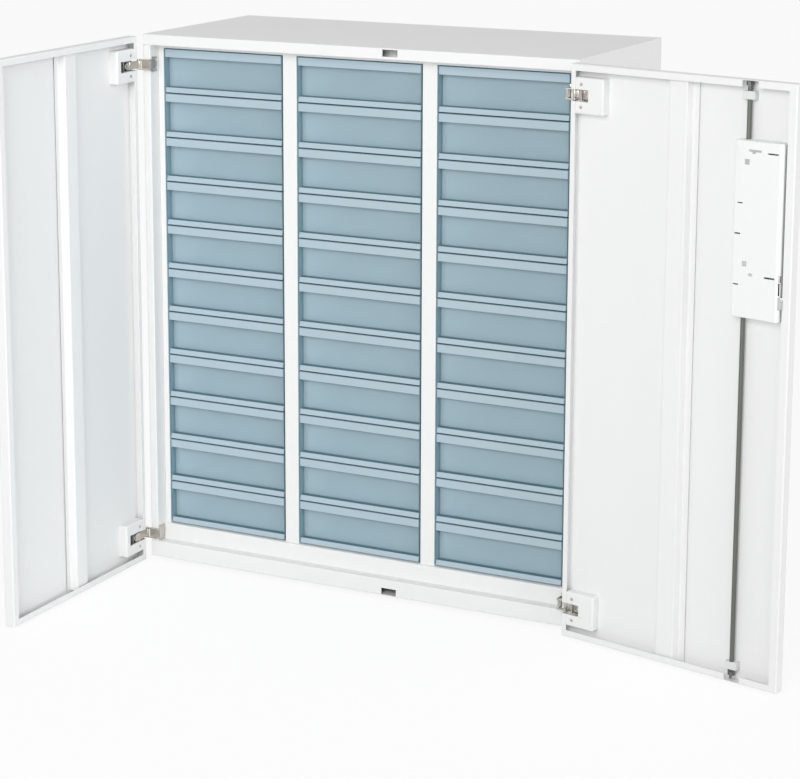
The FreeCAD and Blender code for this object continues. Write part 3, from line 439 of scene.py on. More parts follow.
def copied(piece, name, shift):
    """A copy with its own mesh, moved along."""
    choose(piece)
    bpy.ops.object.duplicate(linked=False)
    twin = bpy.context.object
    twin.location = shift
    return settle(twin, name)


def mirrored(piece):
    """Turn a piece into its mirror image across the centre line."""
    choose(piece)
    piece.scale = (-1, 1, 1)
    bpy.ops.object.transform_apply(location=True, rotation=True, scale=True)
    bpy.ops.object.mode_set(mode="EDIT")
    bpy.ops.mesh.select_all(action="SELECT")
    bpy.ops.mesh.flip_normals()
    bpy.ops.object.mode_set(mode="OBJECT")
    return piece


TURNS = {
    "X": Matrix(((0, 0, 1, 0), (1, 0, 0, 0), (0, 1, 0, 0), (0, 0, 0, 1))),
    "Y": Matrix(((0, 1, 0, 0), (0, 0, 1, 0), (1, 0, 0, 0), (0, 0, 0, 1))),
    "Z": Matrix.Identity(4),
}
NEAR = 0.00002


def folded(name, path, span, sheet, bend, axis="Z"):
    """A sheet folded along a path. Its outer face is at the right-hand side of the path.

    The path is in X and Y for a sheet along Z, in Y and Z along X, and in Z and X along Y.
    """
    corners = [Vector((a, b, 0)) for a, b in path]
    leg = corners[1] - corners[0]
    middle = (corners[0] + corners[1]) / 2
    middle.z = (span[0] + span[1]) / 2
    fresh()
    bpy.ops.mesh.primitive_plane_add(
        size=1, location=middle, rotation=(math.pi / 2, 0, math.atan2(leg.y, leg.x))
    )
    piece = bpy.context.object
    piece.scale = (leg.length, span[1] - span[0], 1)
    settle(piece, name)
    begin(piece, "EDGE")
    for here, there in zip(corners[1:], corners[2:]):
        pick_edges(piece, lambda spot, way: abs(way.z) > 0.9 and (spot.xy - here.xy).length < NEAR)
        draw_out(there - here)
    if bend and len(corners) > 2:
        inner = corners[1:-1]
        pick_edges(
            piece,
            lambda spot, way: abs(way.z) > 0.9 and any((spot.xy - c.xy).length < NEAR for c in inner),
        )
        chamfer(bend, 3)
    end()
    thickened(piece, sheet)
    piece.matrix_world = TURNS[axis]
    return settle(piece, name)


def smooth(piece, angle=35, wide=0.006):
    """Shade curved faces smooth, keep sharp edges and leave wide faces flat."""
    choose(piece)
    bpy.ops.object.shade_smooth_by_angle(angle=math.radians(angle))
    places = piece.data.vertices
    for polygon in piece.data.polygons:
        corners = [places[index].co for index in polygon.vertices]
        around = sum((corner - corners[index - 1]).length for index, corner in enumerate(corners))
        if 2 * polygon.area > wide * around:
            polygon.use_smooth = False


def dress(piece, materials, body, slot, *nodes):
    """Give a finished piece its materials and its body and hide the nodes that it stands for. The slot is not used."""
    smooth(piece)
    if not isinstance(materials, list):
        materials = [materials]
    piece.data.materials.clear()
    for material in materials:
        piece.data.materials.append(material)
    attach(piece, body)
    if nodes:
        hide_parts(*nodes)
    return piece


def node(tree, kind, **values):
    """A shader node with some of its sockets set."""
    made = tree.nodes.new(kind)
    for word, value in values.items():
        made.inputs[word.replace("_", " ")].default_value = value
    return made


def surface(name, tint, rough, grain, depth, **sockets):
    """A moulded, painted or plated surface: its grain changes the roughness and the relief."""
    if name in bpy.data.materials:
        return bpy.data.materials[name]
    material = bpy.data.materials.new(name)
    material.use_nodes = True
    tree = material.node_tree
    shader = tree.nodes["Principled BSDF"]
    shader.inputs["Base Color"].default_value = tint
    for word, value in sockets.items():
        shader.inputs[word.replace("_", " ")].default_value = value
    place = tree.nodes.new("ShaderNodeTexCoord")
    fine = node(tree, "ShaderNodeTexNoise", Scale=grain, Detail=3.0, Roughness=0.55)
    broad = node(tree, "ShaderNodeTexNoise", Scale=grain / 60, Detail=2.0)
    tree.links.new(place.outputs["Object"], fine.inputs["Vector"])
    tree.links.new(place.outputs["Object"], broad.inputs["Vector"])
    spread = node(tree, "ShaderNodeMapRange", From_Min=0.3, From_Max=0.7, To_Min=rough * 0.95, To_Max=rough * 1.05)
    tree.links.new(broad.outputs["Fac"], spread.inputs["Value"])
    tree.links.new(spread.outputs["Result"], shader.inputs["Roughness"])
    relief = node(tree, "ShaderNodeBump", Strength=0.6, Distance=depth)
    tree.links.new(fine.outputs["Fac"], relief.inputs["Height"])
    tree.links.new(relief.outputs["Normal"], shader.inputs["Normal"])
    return material


def white_paint():
    """Powder coat with a slight orange peel."""
    tint = bpy.context.scene.cabinet_finishes.paint
    return surface("powder_coat", tint, 0.45, 700.0, 0.00004, Specular_IOR_Level=0.28)


def plated():
    """Bright nickel plate with faint tool marks."""
    tint = bpy.context.scene.cabinet_finishes.nickel
    return surface("nickel_plate", tint, 0.30, 1500.0, 0.00003, Metallic=1.0)


def lock_metal():
    """Satin metal of the lock."""
    tint = bpy.context.scene.cabinet_finishes.lock
    return surface("lock_metal", tint, 0.34, 1800.0, 0.00002, Metallic=1.0)


def moulded_white():
    """Finely grained white plastic."""
    tint = bpy.context.scene.cabinet_finishes.plastic
    return surface("moulded_white", tint, 0.50, 2200.0, 0.00003)


def tray_finishes():
    """The looks of the tray plastic: pane, dark lines of painted shade, lip, bin walls lightened as painted light,
    reveal darkened as painted shade and bin floor darkened as painted shade.
    """
    tints = bpy.context.scene.cabinet_finishes
    return [
        surface("tray_pane", tints.pane, 0.22, 300.0, 0.00002, Alpha=0.38),
        surface("tray_edge_painted_shade", tints.edge, 0.5, 300.0, 0.00003, Specular_IOR_Level=0.12),
        surface("tray_lip", tints.lip, 0.22, 300.0, 0.00003),
        surface("tray_bin", tints.bin, 0.28, 300.0, 0.00003),
        surface("tray_reveal_painted_shade", tints.reveal, 0.25, 300.0, 0.00003),
        surface("tray_base_painted_shade", tints.base, 0.3, 300.0, 0.00003),
    ]


class CABINET_OT_stage(bpy.types.Operator):
    """Lay the floor, hang the lamps and place the camera"""

    bl_idname = "cabinet.stage"
    bl_label = "Stage"

    def execute(self, context):
        scene = context.scene
        stage = scene.cabinet_stage
        scene.view_settings.view_transform = "Standard"
        self.camera(scene, stage)
        self.light(scene, stage)
        self.floor(scene, stage)
        return {"FINISHED"}

    def camera(self, scene, stage):
        """The camera at the photograph's angle."""
        fresh()
        place = (stage.camera_x, stage.camera_y, stage.camera_z)
        angles = (math.pi / 2 - stage.camera_tilt, 0, stage.camera_turn)
        bpy.ops.object.camera_add(location=place, rotation=angles)
        camera = bpy.context.object
        camera.name = "camera"
        camera.data.sensor_width = 36
        camera.data.lens = stage.lens
        camera.data.shift_x = stage.shift_x
        camera.data.shift_y = stage.shift_y
        camera.data.clip_end = 100
        scene.camera = camera

    def light(self, scene, stage):
        """An even room with a soft box high in front and a low lamp at the right."""
        fresh()
        place = Vector((0.9, -6.0, 3.0))
        turn = (Vector((0, 0, 0.5)) - place).to_track_quat("-Z", "Y").to_euler()
        bpy.ops.object.light_add(type="AREA", location=place, rotation=turn)
        front = bpy.context.object
        front.name = "front_lamp"
        front.data.shape = "SQUARE"
        front.data.size = stage.front_size
        front.data.energy = stage.front
        front.visible_camera = False
        fresh()
        bpy.ops.object.light_add(type="SUN", rotation=(math.radians(80), 0, math.radians(80)))
        side = bpy.context.object
        side.name = "side_lamp"
        side.data.energy = stage.side
        side.data.angle = stage.softness
        world = bpy.data.worlds.new("studio")
        scene.world = world
        world.use_nodes = True
        tree = world.node_tree
        tree.nodes.clear()
        rays = tree.nodes.new("ShaderNodeLightPath")
        seen = tree.nodes.new("ShaderNodeMath")
        seen.operation = "MAXIMUM"
        seen_more = tree.nodes.new("ShaderNodeMath")
        seen_more.operation = "MAXIMUM"
        room = node(tree, "ShaderNodeBackground", Color=(1, 1, 1, 1), Strength=stage.room)
        white = node(tree, "ShaderNodeBackground", Color=(1, 1, 1, 1), Strength=1.0)
        mix = tree.nodes.new("ShaderNodeMixShader")
        out = tree.nodes.new("ShaderNodeOutputWorld")
        tree.links.new(rays.outputs["Is Camera Ray"], seen.inputs[0])
        tree.links.new(rays.outputs["Is Glossy Ray"], seen.inputs[1])
        tree.links.new(seen.outputs[0], seen_more.inputs[0])
        tree.links.new(rays.outputs["Is Transmission Ray"], seen_more.inputs[1])
        tree.links.new(seen_more.outputs[0], mix.inputs["Fac"])
        tree.links.new(room.outputs[0], mix.inputs[1])
        tree.links.new(white.outputs[0], mix.inputs[2])
        tree.links.new(mix.outputs[0], out.inputs["Surface"])

    def floor(self, scene, stage):
        """A pale floor that keeps the cabinet's shadow and fades to white."""
        fresh()
        bpy.ops.mesh.primitive_plane_add(size=stage.floor_size, location=(0, 0, 0))
        floor = settle(bpy.context.object, "floor")
        material = bpy.data.materials.new("floor")
        material.use_nodes = True
        tree = material.node_tree
        shader = tree.nodes["Principled BSDF"]
        shader.inputs["Base Color"].default_value = scene.cabinet_finishes.floor
        shader.inputs["Roughness"].default_value = 0.9
        rays = tree.nodes.new("ShaderNodeLightPath")
        glow = node(tree, "ShaderNodeEmission", Color=(1, 1, 1, 1), Strength=1.03)
        part = tree.nodes.new("ShaderNodeMath")
        part.operation = "MULTIPLY"
        part.inputs[1].default_value = 0.85
        mix = tree.nodes.new("ShaderNodeMixShader")
        tree.links.new(rays.outputs["Is Camera Ray"], part.inputs[0])
        tree.links.new(part.outputs[0], mix.inputs["Fac"])
        tree.links.new(shader.outputs[0], mix.inputs[1])
        tree.links.new(glow.outputs[0], mix.inputs[2])
        tree.links.new(mix.outputs[0], tree.nodes["Material Output"].inputs["Surface"])
        floor.data.materials.append(material)


class CABINET_OT_case(bpy.types.Operator):
    """Fold the sides, the top, the bottom, the base shelf and the back"""

    bl_idname = "cabinet.case"
    bl_label = "Case"

    def execute(self, context):
        case = context.scene.cabinet_case
        paint = white_paint()
        dress(self.side(case, "left_side"), paint, "cabinet", "white_paint", "left_side_panel")
        dress(self.side(case, "right_side"), paint, "cabinet", "white_paint", "right_side_panel")
        dress(self.top(case), paint, "cabinet", "white_paint", "top_panel")
        dress(self.bottom(case), paint, "cabinet", "white_paint", "bottom_panel")
        dress(self.shelf(case), paint, "cabinet", "white_paint", "base_shelf")
        dress(self.back(case), paint, "cabinet", "white_paint", "back_panel")
        return {"FINISHED"}

    def side(self, case, name):
        """One side: jamb return, jamb, side sheet and back flange from one sheet."""
        half = case.width / 2
        inner = half - case.jamb
        path = [
            (inner, case.jamb_return),
            (inner, 0),
            (half, 0),
            (half, case.depth),
            (half - case.flange, case.depth),
        ]
        low, high = case.bottom, case.top - case.sheet
        piece = folded(name, path, (low, high), case.sheet, case.bend)
        rails = ((low - case.fit, low + case.bottom_rail), (case.top - case.top_rail, high + case.fit))
        past = half + case.sheet
        for index, (start, stop) in enumerate(rails):
            front = block(f"rail_way_{index}", (inner - case.sheet, -case.sheet, start), (past, case.sheet, stop))
            turn_low = (inner - case.sheet, case.sheet / 2, start)
            turn_high = (half - case.sheet - case.fit, case.jamb_return + case.sheet, stop)
            turn = block(f"return_way_{index}", turn_low, turn_high)
            carved(piece, [front, turn])
        if name.startswith("left"):
            mirrored(piece)
        return piece

    def hole(self, case, level):
        """The opening in a rail for a claw."""
        low = (case.hole_at - case.hole_width / 2, -case.sheet, level - case.hole_height / 2)
        high = (case.hole_at + case.hole_width / 2, 2 * case.sheet, level + case.hole_height / 2)
        return block("latch_hole", low, high)

    def top(self, case):
        """Top sheet, rail and return from one sheet."""
        half = case.width / 2
        rail = case.top - case.top_rail
        path = [(case.depth, case.top), (0, case.top), (0, rail), (case.jamb_return, rail)]
        piece = folded("top", path, (-half, half), case.sheet, case.bend, "X")
        tools = [self.hole(case, case.top - case.hole_drop)]
        for side in (-1, 1):
            ends = sorted((side * (half - case.sheet), side * (half + case.sheet)))
            low = (ends[0], case.sheet, rail - case.sheet)
            high = (ends[1], case.jamb_return + case.sheet, rail + 2 * case.sheet)
            tools.append(block("return_end", low, high))
        return carved(piece, tools)

    def bottom(self, case):
        """Bottom sheet, rail and return from one sheet, with a welded nut over each foot."""
        half = case.width / 2
        rail = case.bottom + case.bottom_rail
        path = [
            (case.plinth + case.sheet, rail),
            (0, rail),
            (0, case.bottom),
            (case.depth - 2 * case.sheet, case.bottom),
        ]
        piece = folded("bottom", path, (-half, half), case.sheet, case.bend, "X")
        tools = [self.hole(case, case.bottom + case.hole_rise)]
        for side in (-1, 1):
            ends = sorted((side * (half - case.sheet), side * (half + case.sheet)))
            low = (ends[0], case.sheet, case.bottom - case.sheet)
            tools.append(block("sheet_end", low, (ends[1], case.depth, rail + case.sheet)))
        nuts = []
        for index, place in enumerate(foot_places(case)):
            tools.append(turned("stud_hole", place, case.stud_radius, (0, case.bottom + case.foot_pad)))
            seat = case.bottom + case.sheet
            nut = turned(f"nut_{index}", place, case.nut_radius, (seat, seat + case.nut), sides=6)
            softened(nut, case.bend / 3)
            nuts.append(carved(nut, [turned("thread", place, case.stud_radius, (seat - 1, seat + 1))]))
        return joined("bottom", [carved(piece, tools), *nuts])

    def shelf(self, case):
        """Raised floor with its front plate."""
        reach = case.width / 2 - case.jamb - case.fit
        rear = case.depth - 2 * case.sheet - case.fit
        path = [(rear, case.shelf), (case.plinth, case.shelf), (case.plinth, case.bottom + case.bottom_rail)]
        return folded("shelf", path, (-reach, reach), case.sheet, case.bend, "X")

    def back(self, case):
        """Back sheet with softened edges."""
        reach = case.width / 2 - case.sheet
        low = (-reach, case.depth - 2 * case.sheet, case.bottom)
        piece = block("back", low, (reach, case.depth - case.sheet, case.top - case.sheet))
        return softened(piece, case.sheet / 4)


def foot_places(case):
    """The centres of the four feet."""
    reach = case.width / 2 - case.foot_side
    return [(x, y) for y in (case.foot_end, case.depth - case.foot_end) for x in (-reach, reach)]


class CABINET_OT_feet(bpy.types.Operator):
    """Turn the four adjuster feet"""

    bl_idname = "cabinet.feet"
    bl_label = "Adjuster feet"

    def execute(self, context):
        case = context.scene.cabinet_case
        tint = context.scene.cabinet_finishes.foot
        rubber = surface("foot_rubber", tint, 0.55, 1200.0, 0.00005)
        feet = []
        for index, place in enumerate(foot_places(case)):
            pad = turned(f"pad_{index}", place, case.foot_radius, (0, case.foot_pad), sides=48)
            begin(pad, "FACE")
            pick_faces(pad, lambda spot, normal: normal.z > 0.9)
            bpy.ops.mesh.inset(thickness=case.foot_pad)
            slide((0, 0, case.foot_pad / 6))
            end()
            softened(pad, case.foot_pad / 6)
            level = case.foot_pad
            stud = turned(f"stud_{index}", place, case.stud_radius - case.fit / 2, (level, level + case.stud))
            softened(stud, case.stud_radius / 5)
            feet += [pad, stud]
        dress(joined("feet", feet), [rubber], "cabinet", "foot", "adjuster_feet")
        return {"FINISHED"}


class CABINET_OT_uprights(bpy.types.Operator):
    """Fold the partitions, the side liners and the runners"""

    bl_idname = "cabinet.uprights"
    bl_label = "Uprights and runners"

    def execute(self, context):
        case, tray = context.scene.cabinet_case, context.scene.cabinet_tray
        paint = white_paint()
        dress(self.partitions(case, tray), paint, "cabinet", "white_paint", "partitions")
        dress(self.liners(case, tray), paint, "cabinet", "white_paint", "side_liners")
        dress(self.runners(case, tray), paint, "cabinet", "white_paint", "tray_runners")
        return {"FINISHED"}

    def partitions(self, case, tray):
        """Two channels between the columns, open at the back, and a strip over each column."""
        clear = tray.width / 2 + tray.side_gap
        rear = case.depth - 2 * case.sheet - case.fit
        up = (case.shelf, case.top - case.sheet)
        near, far = clear, tray.column_pitch - clear
        path = [(near, rear), (near, tray.setback), (far, tray.setback), (far, rear)]
        right = folded("right_partition", path, up, case.sheet, case.bend)
        left = copied(right, "left_partition", (-tray.column_pitch, 0, 0))
        made = [left, right]
        reach = clear - case.fit
        low = tray.first_row + (tray.rows - 1) * tray.row_pitch + tray.front + case.sheet
        for column in range(len(COLUMNS)):
            middle = (column - 1) * tray.column_pitch
            strip_low = (middle - reach, tray.setback + case.sheet, low)
            strip_high = (middle + reach, tray.setback + 2 * case.sheet, case.top - case.sheet)
            made.append(softened(block(f"strip_{column}", strip_low, strip_high), case.sheet / 5))
        return joined("partition_pair", made)

    def liners(self, case, tray):
        """A liner beside each outer column, folded towards the side of the case."""
        inner = tray.column_pitch + tray.width / 2 + tray.side_gap
        rear = case.depth - 2 * case.sheet - case.fit
        up = (case.shelf, case.top - case.sheet)
        path = [
            (case.width / 2 - case.sheet - case.fit, rear),
            (inner, rear),
            (inner, tray.setback),
            (case.width / 2 - case.jamb - case.fit, tray.setback),
        ]
        right = folded("right_liner", path, up, case.sheet, case.bend)
        left = mirrored(copied(right, "left_liner", (0, 0, 0)))
        return joined("liner_pair", [left, right])

    def runners(self, case, tray):
        """A pair of angles for each tray."""
        wall = tray.width / 2 + tray.side_gap
        top = tray.first_row + tray.bin_height - tray.wall - tray.runner_gap
        start = tray.setback + tray.front_depth + tray.runner_gap
        path = [(top, wall - tray.runner_reach), (top, wall), (top - tray.runner_leg, wall)]
        span = (start, start + tray.runner_length)
        right = folded("right_runner", path, span, tray.runner_sheet, tray.runner_sheet, "Y")
        left = mirrored(copied(right, "left_runner", (0, 0, 0)))
        pair = joined("runner_pair", [left, right])
        angles = []
        for column in range(len(COLUMNS)):
            for row in range(tray.rows):
                shift = ((column - 1) * tray.column_pitch, 0, row * tray.row_pitch)
                angles.append(copied(pair, f"runners_{column}_{row}", shift))
        bpy.data.objects.remove(pair)
        return joined("runner_angles", angles)


class CABINET_OT_trays(bpy.types.Operator):
    """Mould one tray and set the others in their places"""

    bl_idname = "cabinet.trays"
    bl_label = "Trays"

    def execute(self, context):
        tray = context.scene.cabinet_tray
        master = self.tray(tray)
        looks = tray_finishes()
        for column, letter in enumerate(COLUMNS):
            for row in range(tray.rows):
                name = f"{letter}{row + 1:02d}"
                level = tray.first_row + (tray.rows - 1 - row) * tray.row_pitch
                place = ((column - 1) * tray.column_pitch, tray.setback, level)
                piece = copied(master, f"moulded_tray_{name}", place)
                self.dress_tray(piece, looks, f"tray_{name}")
        bpy.data.objects.remove(master)
        return {"FINISHED"}

    def dress_tray(self, piece, looks, body):
        """Put each look in its slot, which the faces already name, and ride on the body."""
        for index, look in enumerate(looks):
            piece.data.materials[index] = look
        smooth(piece)
        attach(piece, body)
        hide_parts(body)

    def tray(self, tray):
        """Bin with side rims behind a recessed window with a finger lip."""
        half, half_bin = tray.width / 2, tray.bin_width / 2
        rim = half_bin + tray.rim
        rear = tray.front_depth + tray.bin_length
        piece = block("tray_master", (-half, 0, -tray.apron), (half, tray.front_depth, tray.front))
        over = tray.wall / 2
        bin_block = block("bin", (-half_bin, over, 0), (half_bin, rear, tray.bin_height))
        rim_low = (-rim, tray.front_depth - over, tray.bin_height - tray.wall)
        rim_block = block("rim", rim_low, (rim, rear, tray.bin_height))
        welded(piece, [welded(bin_block, [rim_block])])
        inner = half_bin - tray.wall
        hollow = block("hollow", (-inner, tray.front_depth + over / 2, tray.wall), (inner, rear - tray.wall, tray.front * 2))
        face = half - tray.wall
        window = block("window", (-face, -over, tray.ledge), (face, tray.recess, tray.front - tray.lip))
        grip_low = (-face, tray.wall, tray.front - tray.lip - over)
        grip = block("grip", grip_low, (face, tray.recess, tray.front - tray.wall))
        carved(piece, [hollow, welded(window, [grip])])
        self.lean(piece, tray, face)
        softened(piece, tray.wall * 0.25, 2)
        self.cut_shade_lines(piece, tray, face)
        self.mark(piece, tray, face)
        return piece

    def lean(self, piece, tray, face):
        """Cut edges beside the frame's side walls, then lean the ledge's front back at its top."""
        begin(piece, "FACE")
        for side in (-face, face):
            pick_faces(piece, lambda spot, normal: spot.y < tray.front_depth + NEAR)
            bpy.ops.mesh.bisect(plane_co=(side, 0, 0), plane_no=(1, 0, 0))
        pick_edges(
            piece,
            lambda spot, way: abs(spot.y) < NEAR
            and abs(spot.z - tray.ledge) < NEAR
            and abs(way.x) > 0.9
            and abs(spot.x) < face,
        )
        slide((0, tray.slope, 0))
        end()

    def cut_shade_lines(self, piece, tray, face):
        """Cut the lines that take the painted shade: round the window and along the lip's top."""
        begin(piece, "FACE")
        cuts = [
            (tray.recess, (0, 0, tray.ledge + tray.line), (0, 0, 1)),
            (tray.recess, (tray.line - face, 0, 0), (1, 0, 0)),
            (tray.recess, (face - tray.line, 0, 0), (1, 0, 0)),
            (0, (0, 0, tray.front - tray.line), (0, 0, 1)),
        ]
        for depth, point, across in cuts:
            pick_faces(piece, lambda spot, normal: normal.y < -0.9 and abs(spot.y - depth) < NEAR)
            bpy.ops.mesh.bisect(plane_co=point, plane_no=across)
        end()

    def mark(self, piece, tray, face):
        """Name the look of each face: 0 pane, 1 dark lines of painted shade, 2 lip and ledge, 3 bin walls lightened as
        painted light, 4 reveal darkened as painted shade, 5 bin floor darkened as painted shade.
        """
        for word in ("pane", "edge", "lip", "bin", "reveal", "base"):
            piece.data.materials.append(bpy.data.materials.new(f"{word}_mark"))
        window_top = tray.front - tray.lip
        for polygon in piece.data.polygons:
            spot, normal = polygon.center, polygon.normal
            across = abs(spot.x)
            if spot.y > tray.front_depth + tray.wall / 2:
                # The bin's floor gets the darker base colour (painted shade), its walls the lighter bin colour (painted
                # light).
                look = 5 if normal.z > 0.7 and spot.z < tray.wall + NEAR else 3
            # Inner sides of the window's recess: the reveal colour, painted shade.
            elif across > face - tray.wall / 2 and abs(normal.x) > 0.7 and across < face + tray.wall / 4:
                look = 4
            # Side frames of the front and the strip along the lip's top: painted shade.
            elif across > face - NEAR or spot.z > tray.front - tray.line - NEAR:
                look = 1
            elif tray.ledge - NEAR < spot.z < window_top and spot.y > tray.recess - NEAR:
                # Dark lines round the window: painted shade.
                rim = across > face - tray.line - NEAR or spot.z < tray.ledge + tray.line + NEAR
                look = 1 if rim and normal.y < 0 else 0
            # The ledge's top, the floor of the window's recess: painted shade.
            elif abs(spot.z - tray.ledge) < tray.wall / 4 and normal.z > 0.7:
                look = 1
            else:
                look = 2
            polygon.material_index = look


def door_matrix(word):
    """From the hinge edge of a closed door to the door's rest pose."""
    case, door = bpy.context.scene.cabinet_case, bpy.context.scene.cabinet_door
    half = case.width / 2
    if word == "left":
        pole = Vector((-half - door.left_pole_out, -door.left_pole_front, 0))
        edge = Vector((-half + door.edge_inset, -door.gap, 0))
        angle = -door.left_open
    else:
        pole = Vector((half - door.right_pole_in, -door.right_pole_front, 0))
        edge = Vector((half - door.edge_inset, -door.gap, 0))
        angle = door.right_open
    return Matrix.Translation(pole) @ Matrix.Rotation(angle, 4, "Z") @ Matrix.Translation(edge - pole)


def hung(piece, word):
    """Swing a piece, drawn from the hinge edge of its closed door, to the rest pose."""
    piece.matrix_world = door_matrix(word)
    return settle(piece, piece.name)


def way(word, low, high):
    """A span from the hinge edge towards the free edge, as coordinates."""
    return (low, high) if word == "left" else (-high, -low)


def slab(name, word, across, along, up):
    """A block on a door: across from the hinge edge, depth, level."""
    low, high = way(word, *across)
    return block(name, (low, along[0], up[0]), (high, along[1], up[1]))


def hinge_levels(door):
    """The levels of the two hinges of a door."""
    return (door.upper_hinge, door.lower_hinge)


def pocket_tool(word, door, level, depth):
    """The opening that a hinge folds into."""
    half = door.pocket_height / 2
    far = door.pocket if word == "left" else door.right_pocket
    return slab("pocket", word, (-door.gap, far), (-depth, door.gap), (level - half, level + half))


class CABINET_OT_doors(bpy.types.Operator):
    """Fold the two door pans, their stiffeners and the hinge brackets"""

    bl_idname = "cabinet.doors"
    bl_label = "Doors"

    def execute(self, context):
        scene = context.scene
        case, door, lock = scene.cabinet_case, scene.cabinet_door, scene.cabinet_lock
        paint = white_paint()
        for word in ("left", "right"):
            body = f"{word}_door"
            skin = self.skin(word, case, door, lock)
            dress(hung(skin, word), paint, body, "white_paint", f"{word}_door_skin")
            hat = self.stiffener(word, case, door)
            dress(hung(hat, word), paint, body, "white_paint", f"{word}_door_stiffener")
            brackets = self.brackets(word, case, door)
            dress(hung(brackets, word), paint, body, "white_paint", f"{word}_hinge_brackets")
        return {"FINISHED"}

    def skin(self, word, case, door, lock):
        """A pan with its edges folded and its lips turned inwards."""
        sheet = case.sheet
        piece = slab(f"{word}_pan", word, (0, door.width), (-door.depth, 0), (door.bottom, door.top))
        toward = 1 if word == "left" else -1
        begin(piece, "FACE")
        pick_faces(piece, lambda spot, normal: normal.y > 0.9)
        bpy.ops.mesh.inset(thickness=door.edge_lip)
        bpy.ops.mesh.delete(type="FACE")
        more = door.end_lip - door.edge_lip
        inner_top, inner_bottom = door.top - door.edge_lip, door.bottom + door.edge_lip
        inner_free = toward * (door.width - door.edge_lip)
        pick_edges(piece, lambda spot, w: abs(w.x) > 0.9 and abs(spot.z - inner_top) < NEAR)
        slide((0, 0, -more))
        pick_edges(piece, lambda spot, w: abs(w.x) > 0.9 and abs(spot.z - inner_bottom) < NEAR)
        slide((0, 0, more))
        pick_edges(piece, lambda spot, w: abs(w.z) > 0.9 and abs(spot.x - inner_free) < NEAR)
        slide((-toward * (door.free_lip - door.edge_lip), 0, 0))
        sides = (0, toward * door.width)

        def on_frame(spot, direction):
            faces = [min(abs(spot.x - side) for side in sides) < NEAR]
            faces.append(min(abs(spot.z - end_level) for end_level in (door.bottom, door.top)) < NEAR)
            faces.append(min(abs(spot.y), abs(spot.y + door.depth)) < NEAR)
            return sum(faces) > 1

        pick_edges(piece, on_frame)
        chamfer(case.bend, 3)
        end()
        thickened(piece, sheet)
        tools = [pocket_tool(word, door, level, door.depth - sheet) for level in hinge_levels(door)]
        if word == "right":
            tools += self.lock_openings(case, door, lock)
        return carved(piece, tools)

    def lock_openings(self, case, door, lock):
        """Slots for the claws, the opening for the bowl and the hole for the barrel."""
        sheet = case.sheet
        across = (lock.rod_at - lock.boss - lock.slot_margin, lock.rod_at + lock.claw_radius + lock.slot_margin)
        along = (-2 * sheet, sheet)
        upper = (door.top - door.end_lip - sheet, door.top - sheet)
        lower = (door.bottom + sheet, door.bottom + door.end_lip + sheet)
        outer = (-door.depth - sheet, -door.depth + 2 * sheet)
        bowl_across = (lock.bowl_start, lock.bowl_start + lock.bowl_width)
        bowl_up = (lock.bowl_bottom, lock.bowl_bottom + lock.bowl_height)
        return [
            slab("upper_slot", "right", across, along, upper),
            slab("lower_slot", "right", across, along, lower),
            slab("bowl_way", "right", bowl_across, outer, bowl_up),
            turned("barrel_way", (-lock.plug_at, lock.plug_level), lock.barrel + case.fit, outer, "Y", 48),
        ]

    def stiffener(self, word, case, door):
        """Hat section, its feet on the outer sheet."""
        floor = -door.depth + 2 * case.sheet
        crown = -door.hat_sink
        start = door.hat_start + door.hat_foot + door.hat_slope
        stop = start + door.hat_crown
        path = [
            (stop + door.hat_slope + door.hat_far_foot, floor + door.hat_seam),
            (stop + door.hat_slope, floor),
            (stop, crown),
            (start, crown),
            (start - door.hat_slope, floor),
            (door.hat_start, floor),
        ]
        end_room = case.sheet + door.hat_gap
        up = (door.bottom + end_room, door.top - end_room)
        piece = folded(f"{word}_hat", path, up, case.sheet, case.bend)
        return piece if word == "left" else mirrored(piece)

    def brackets(self, word, case, door):
        """Pressed boxes round the hinge pockets."""
        made = []
        sheet = door.bracket_sheet
        toward = 1 if word == "left" else -1
        for index, level in enumerate(hinge_levels(door)):
            start = door.edge_lip + case.fit
            up = (level - door.bracket_height / 2, level + door.bracket_height / 2)
            along = (-door.depth + case.sheet, -door.bracket_sink)
            piece = slab(f"{word}_bracket_{index}", word, (start, door.bracket), along, up)
            begin(piece, "FACE")
            pick_faces(piece, lambda spot, normal: normal.y < -0.9 or normal.x * toward < -0.9)
            bpy.ops.mesh.delete(type="FACE")
            pick_edges(
                piece,
                lambda spot, w: abs(spot.y - along[1]) < NEAR
                and abs(spot.x - toward * start) > NEAR
                or abs(w.y) > 0.9
                and abs(spot.x - toward * start) > NEAR,
            )
            chamfer(2 * case.bend, 3)
            end()
            thickened(piece, sheet)
            made.append(carved(piece, [pocket_tool(word, door, level, 3 * sheet)]))
            if word == "right":
                tall = door.pocket_height / 2 + door.gap
                across = (door.right_cup_end + case.fit, door.right_pocket + door.gap)
                deep = (-door.bracket_sink - 3 * sheet, -door.bracket_sink - sheet)
                pad = slab(f"pad_{index}", word, across, deep, (level - tall, level + tall))
                made.append(softened(pad, sheet / 4))
        return joined(f"{word}_bracket_pair", made)


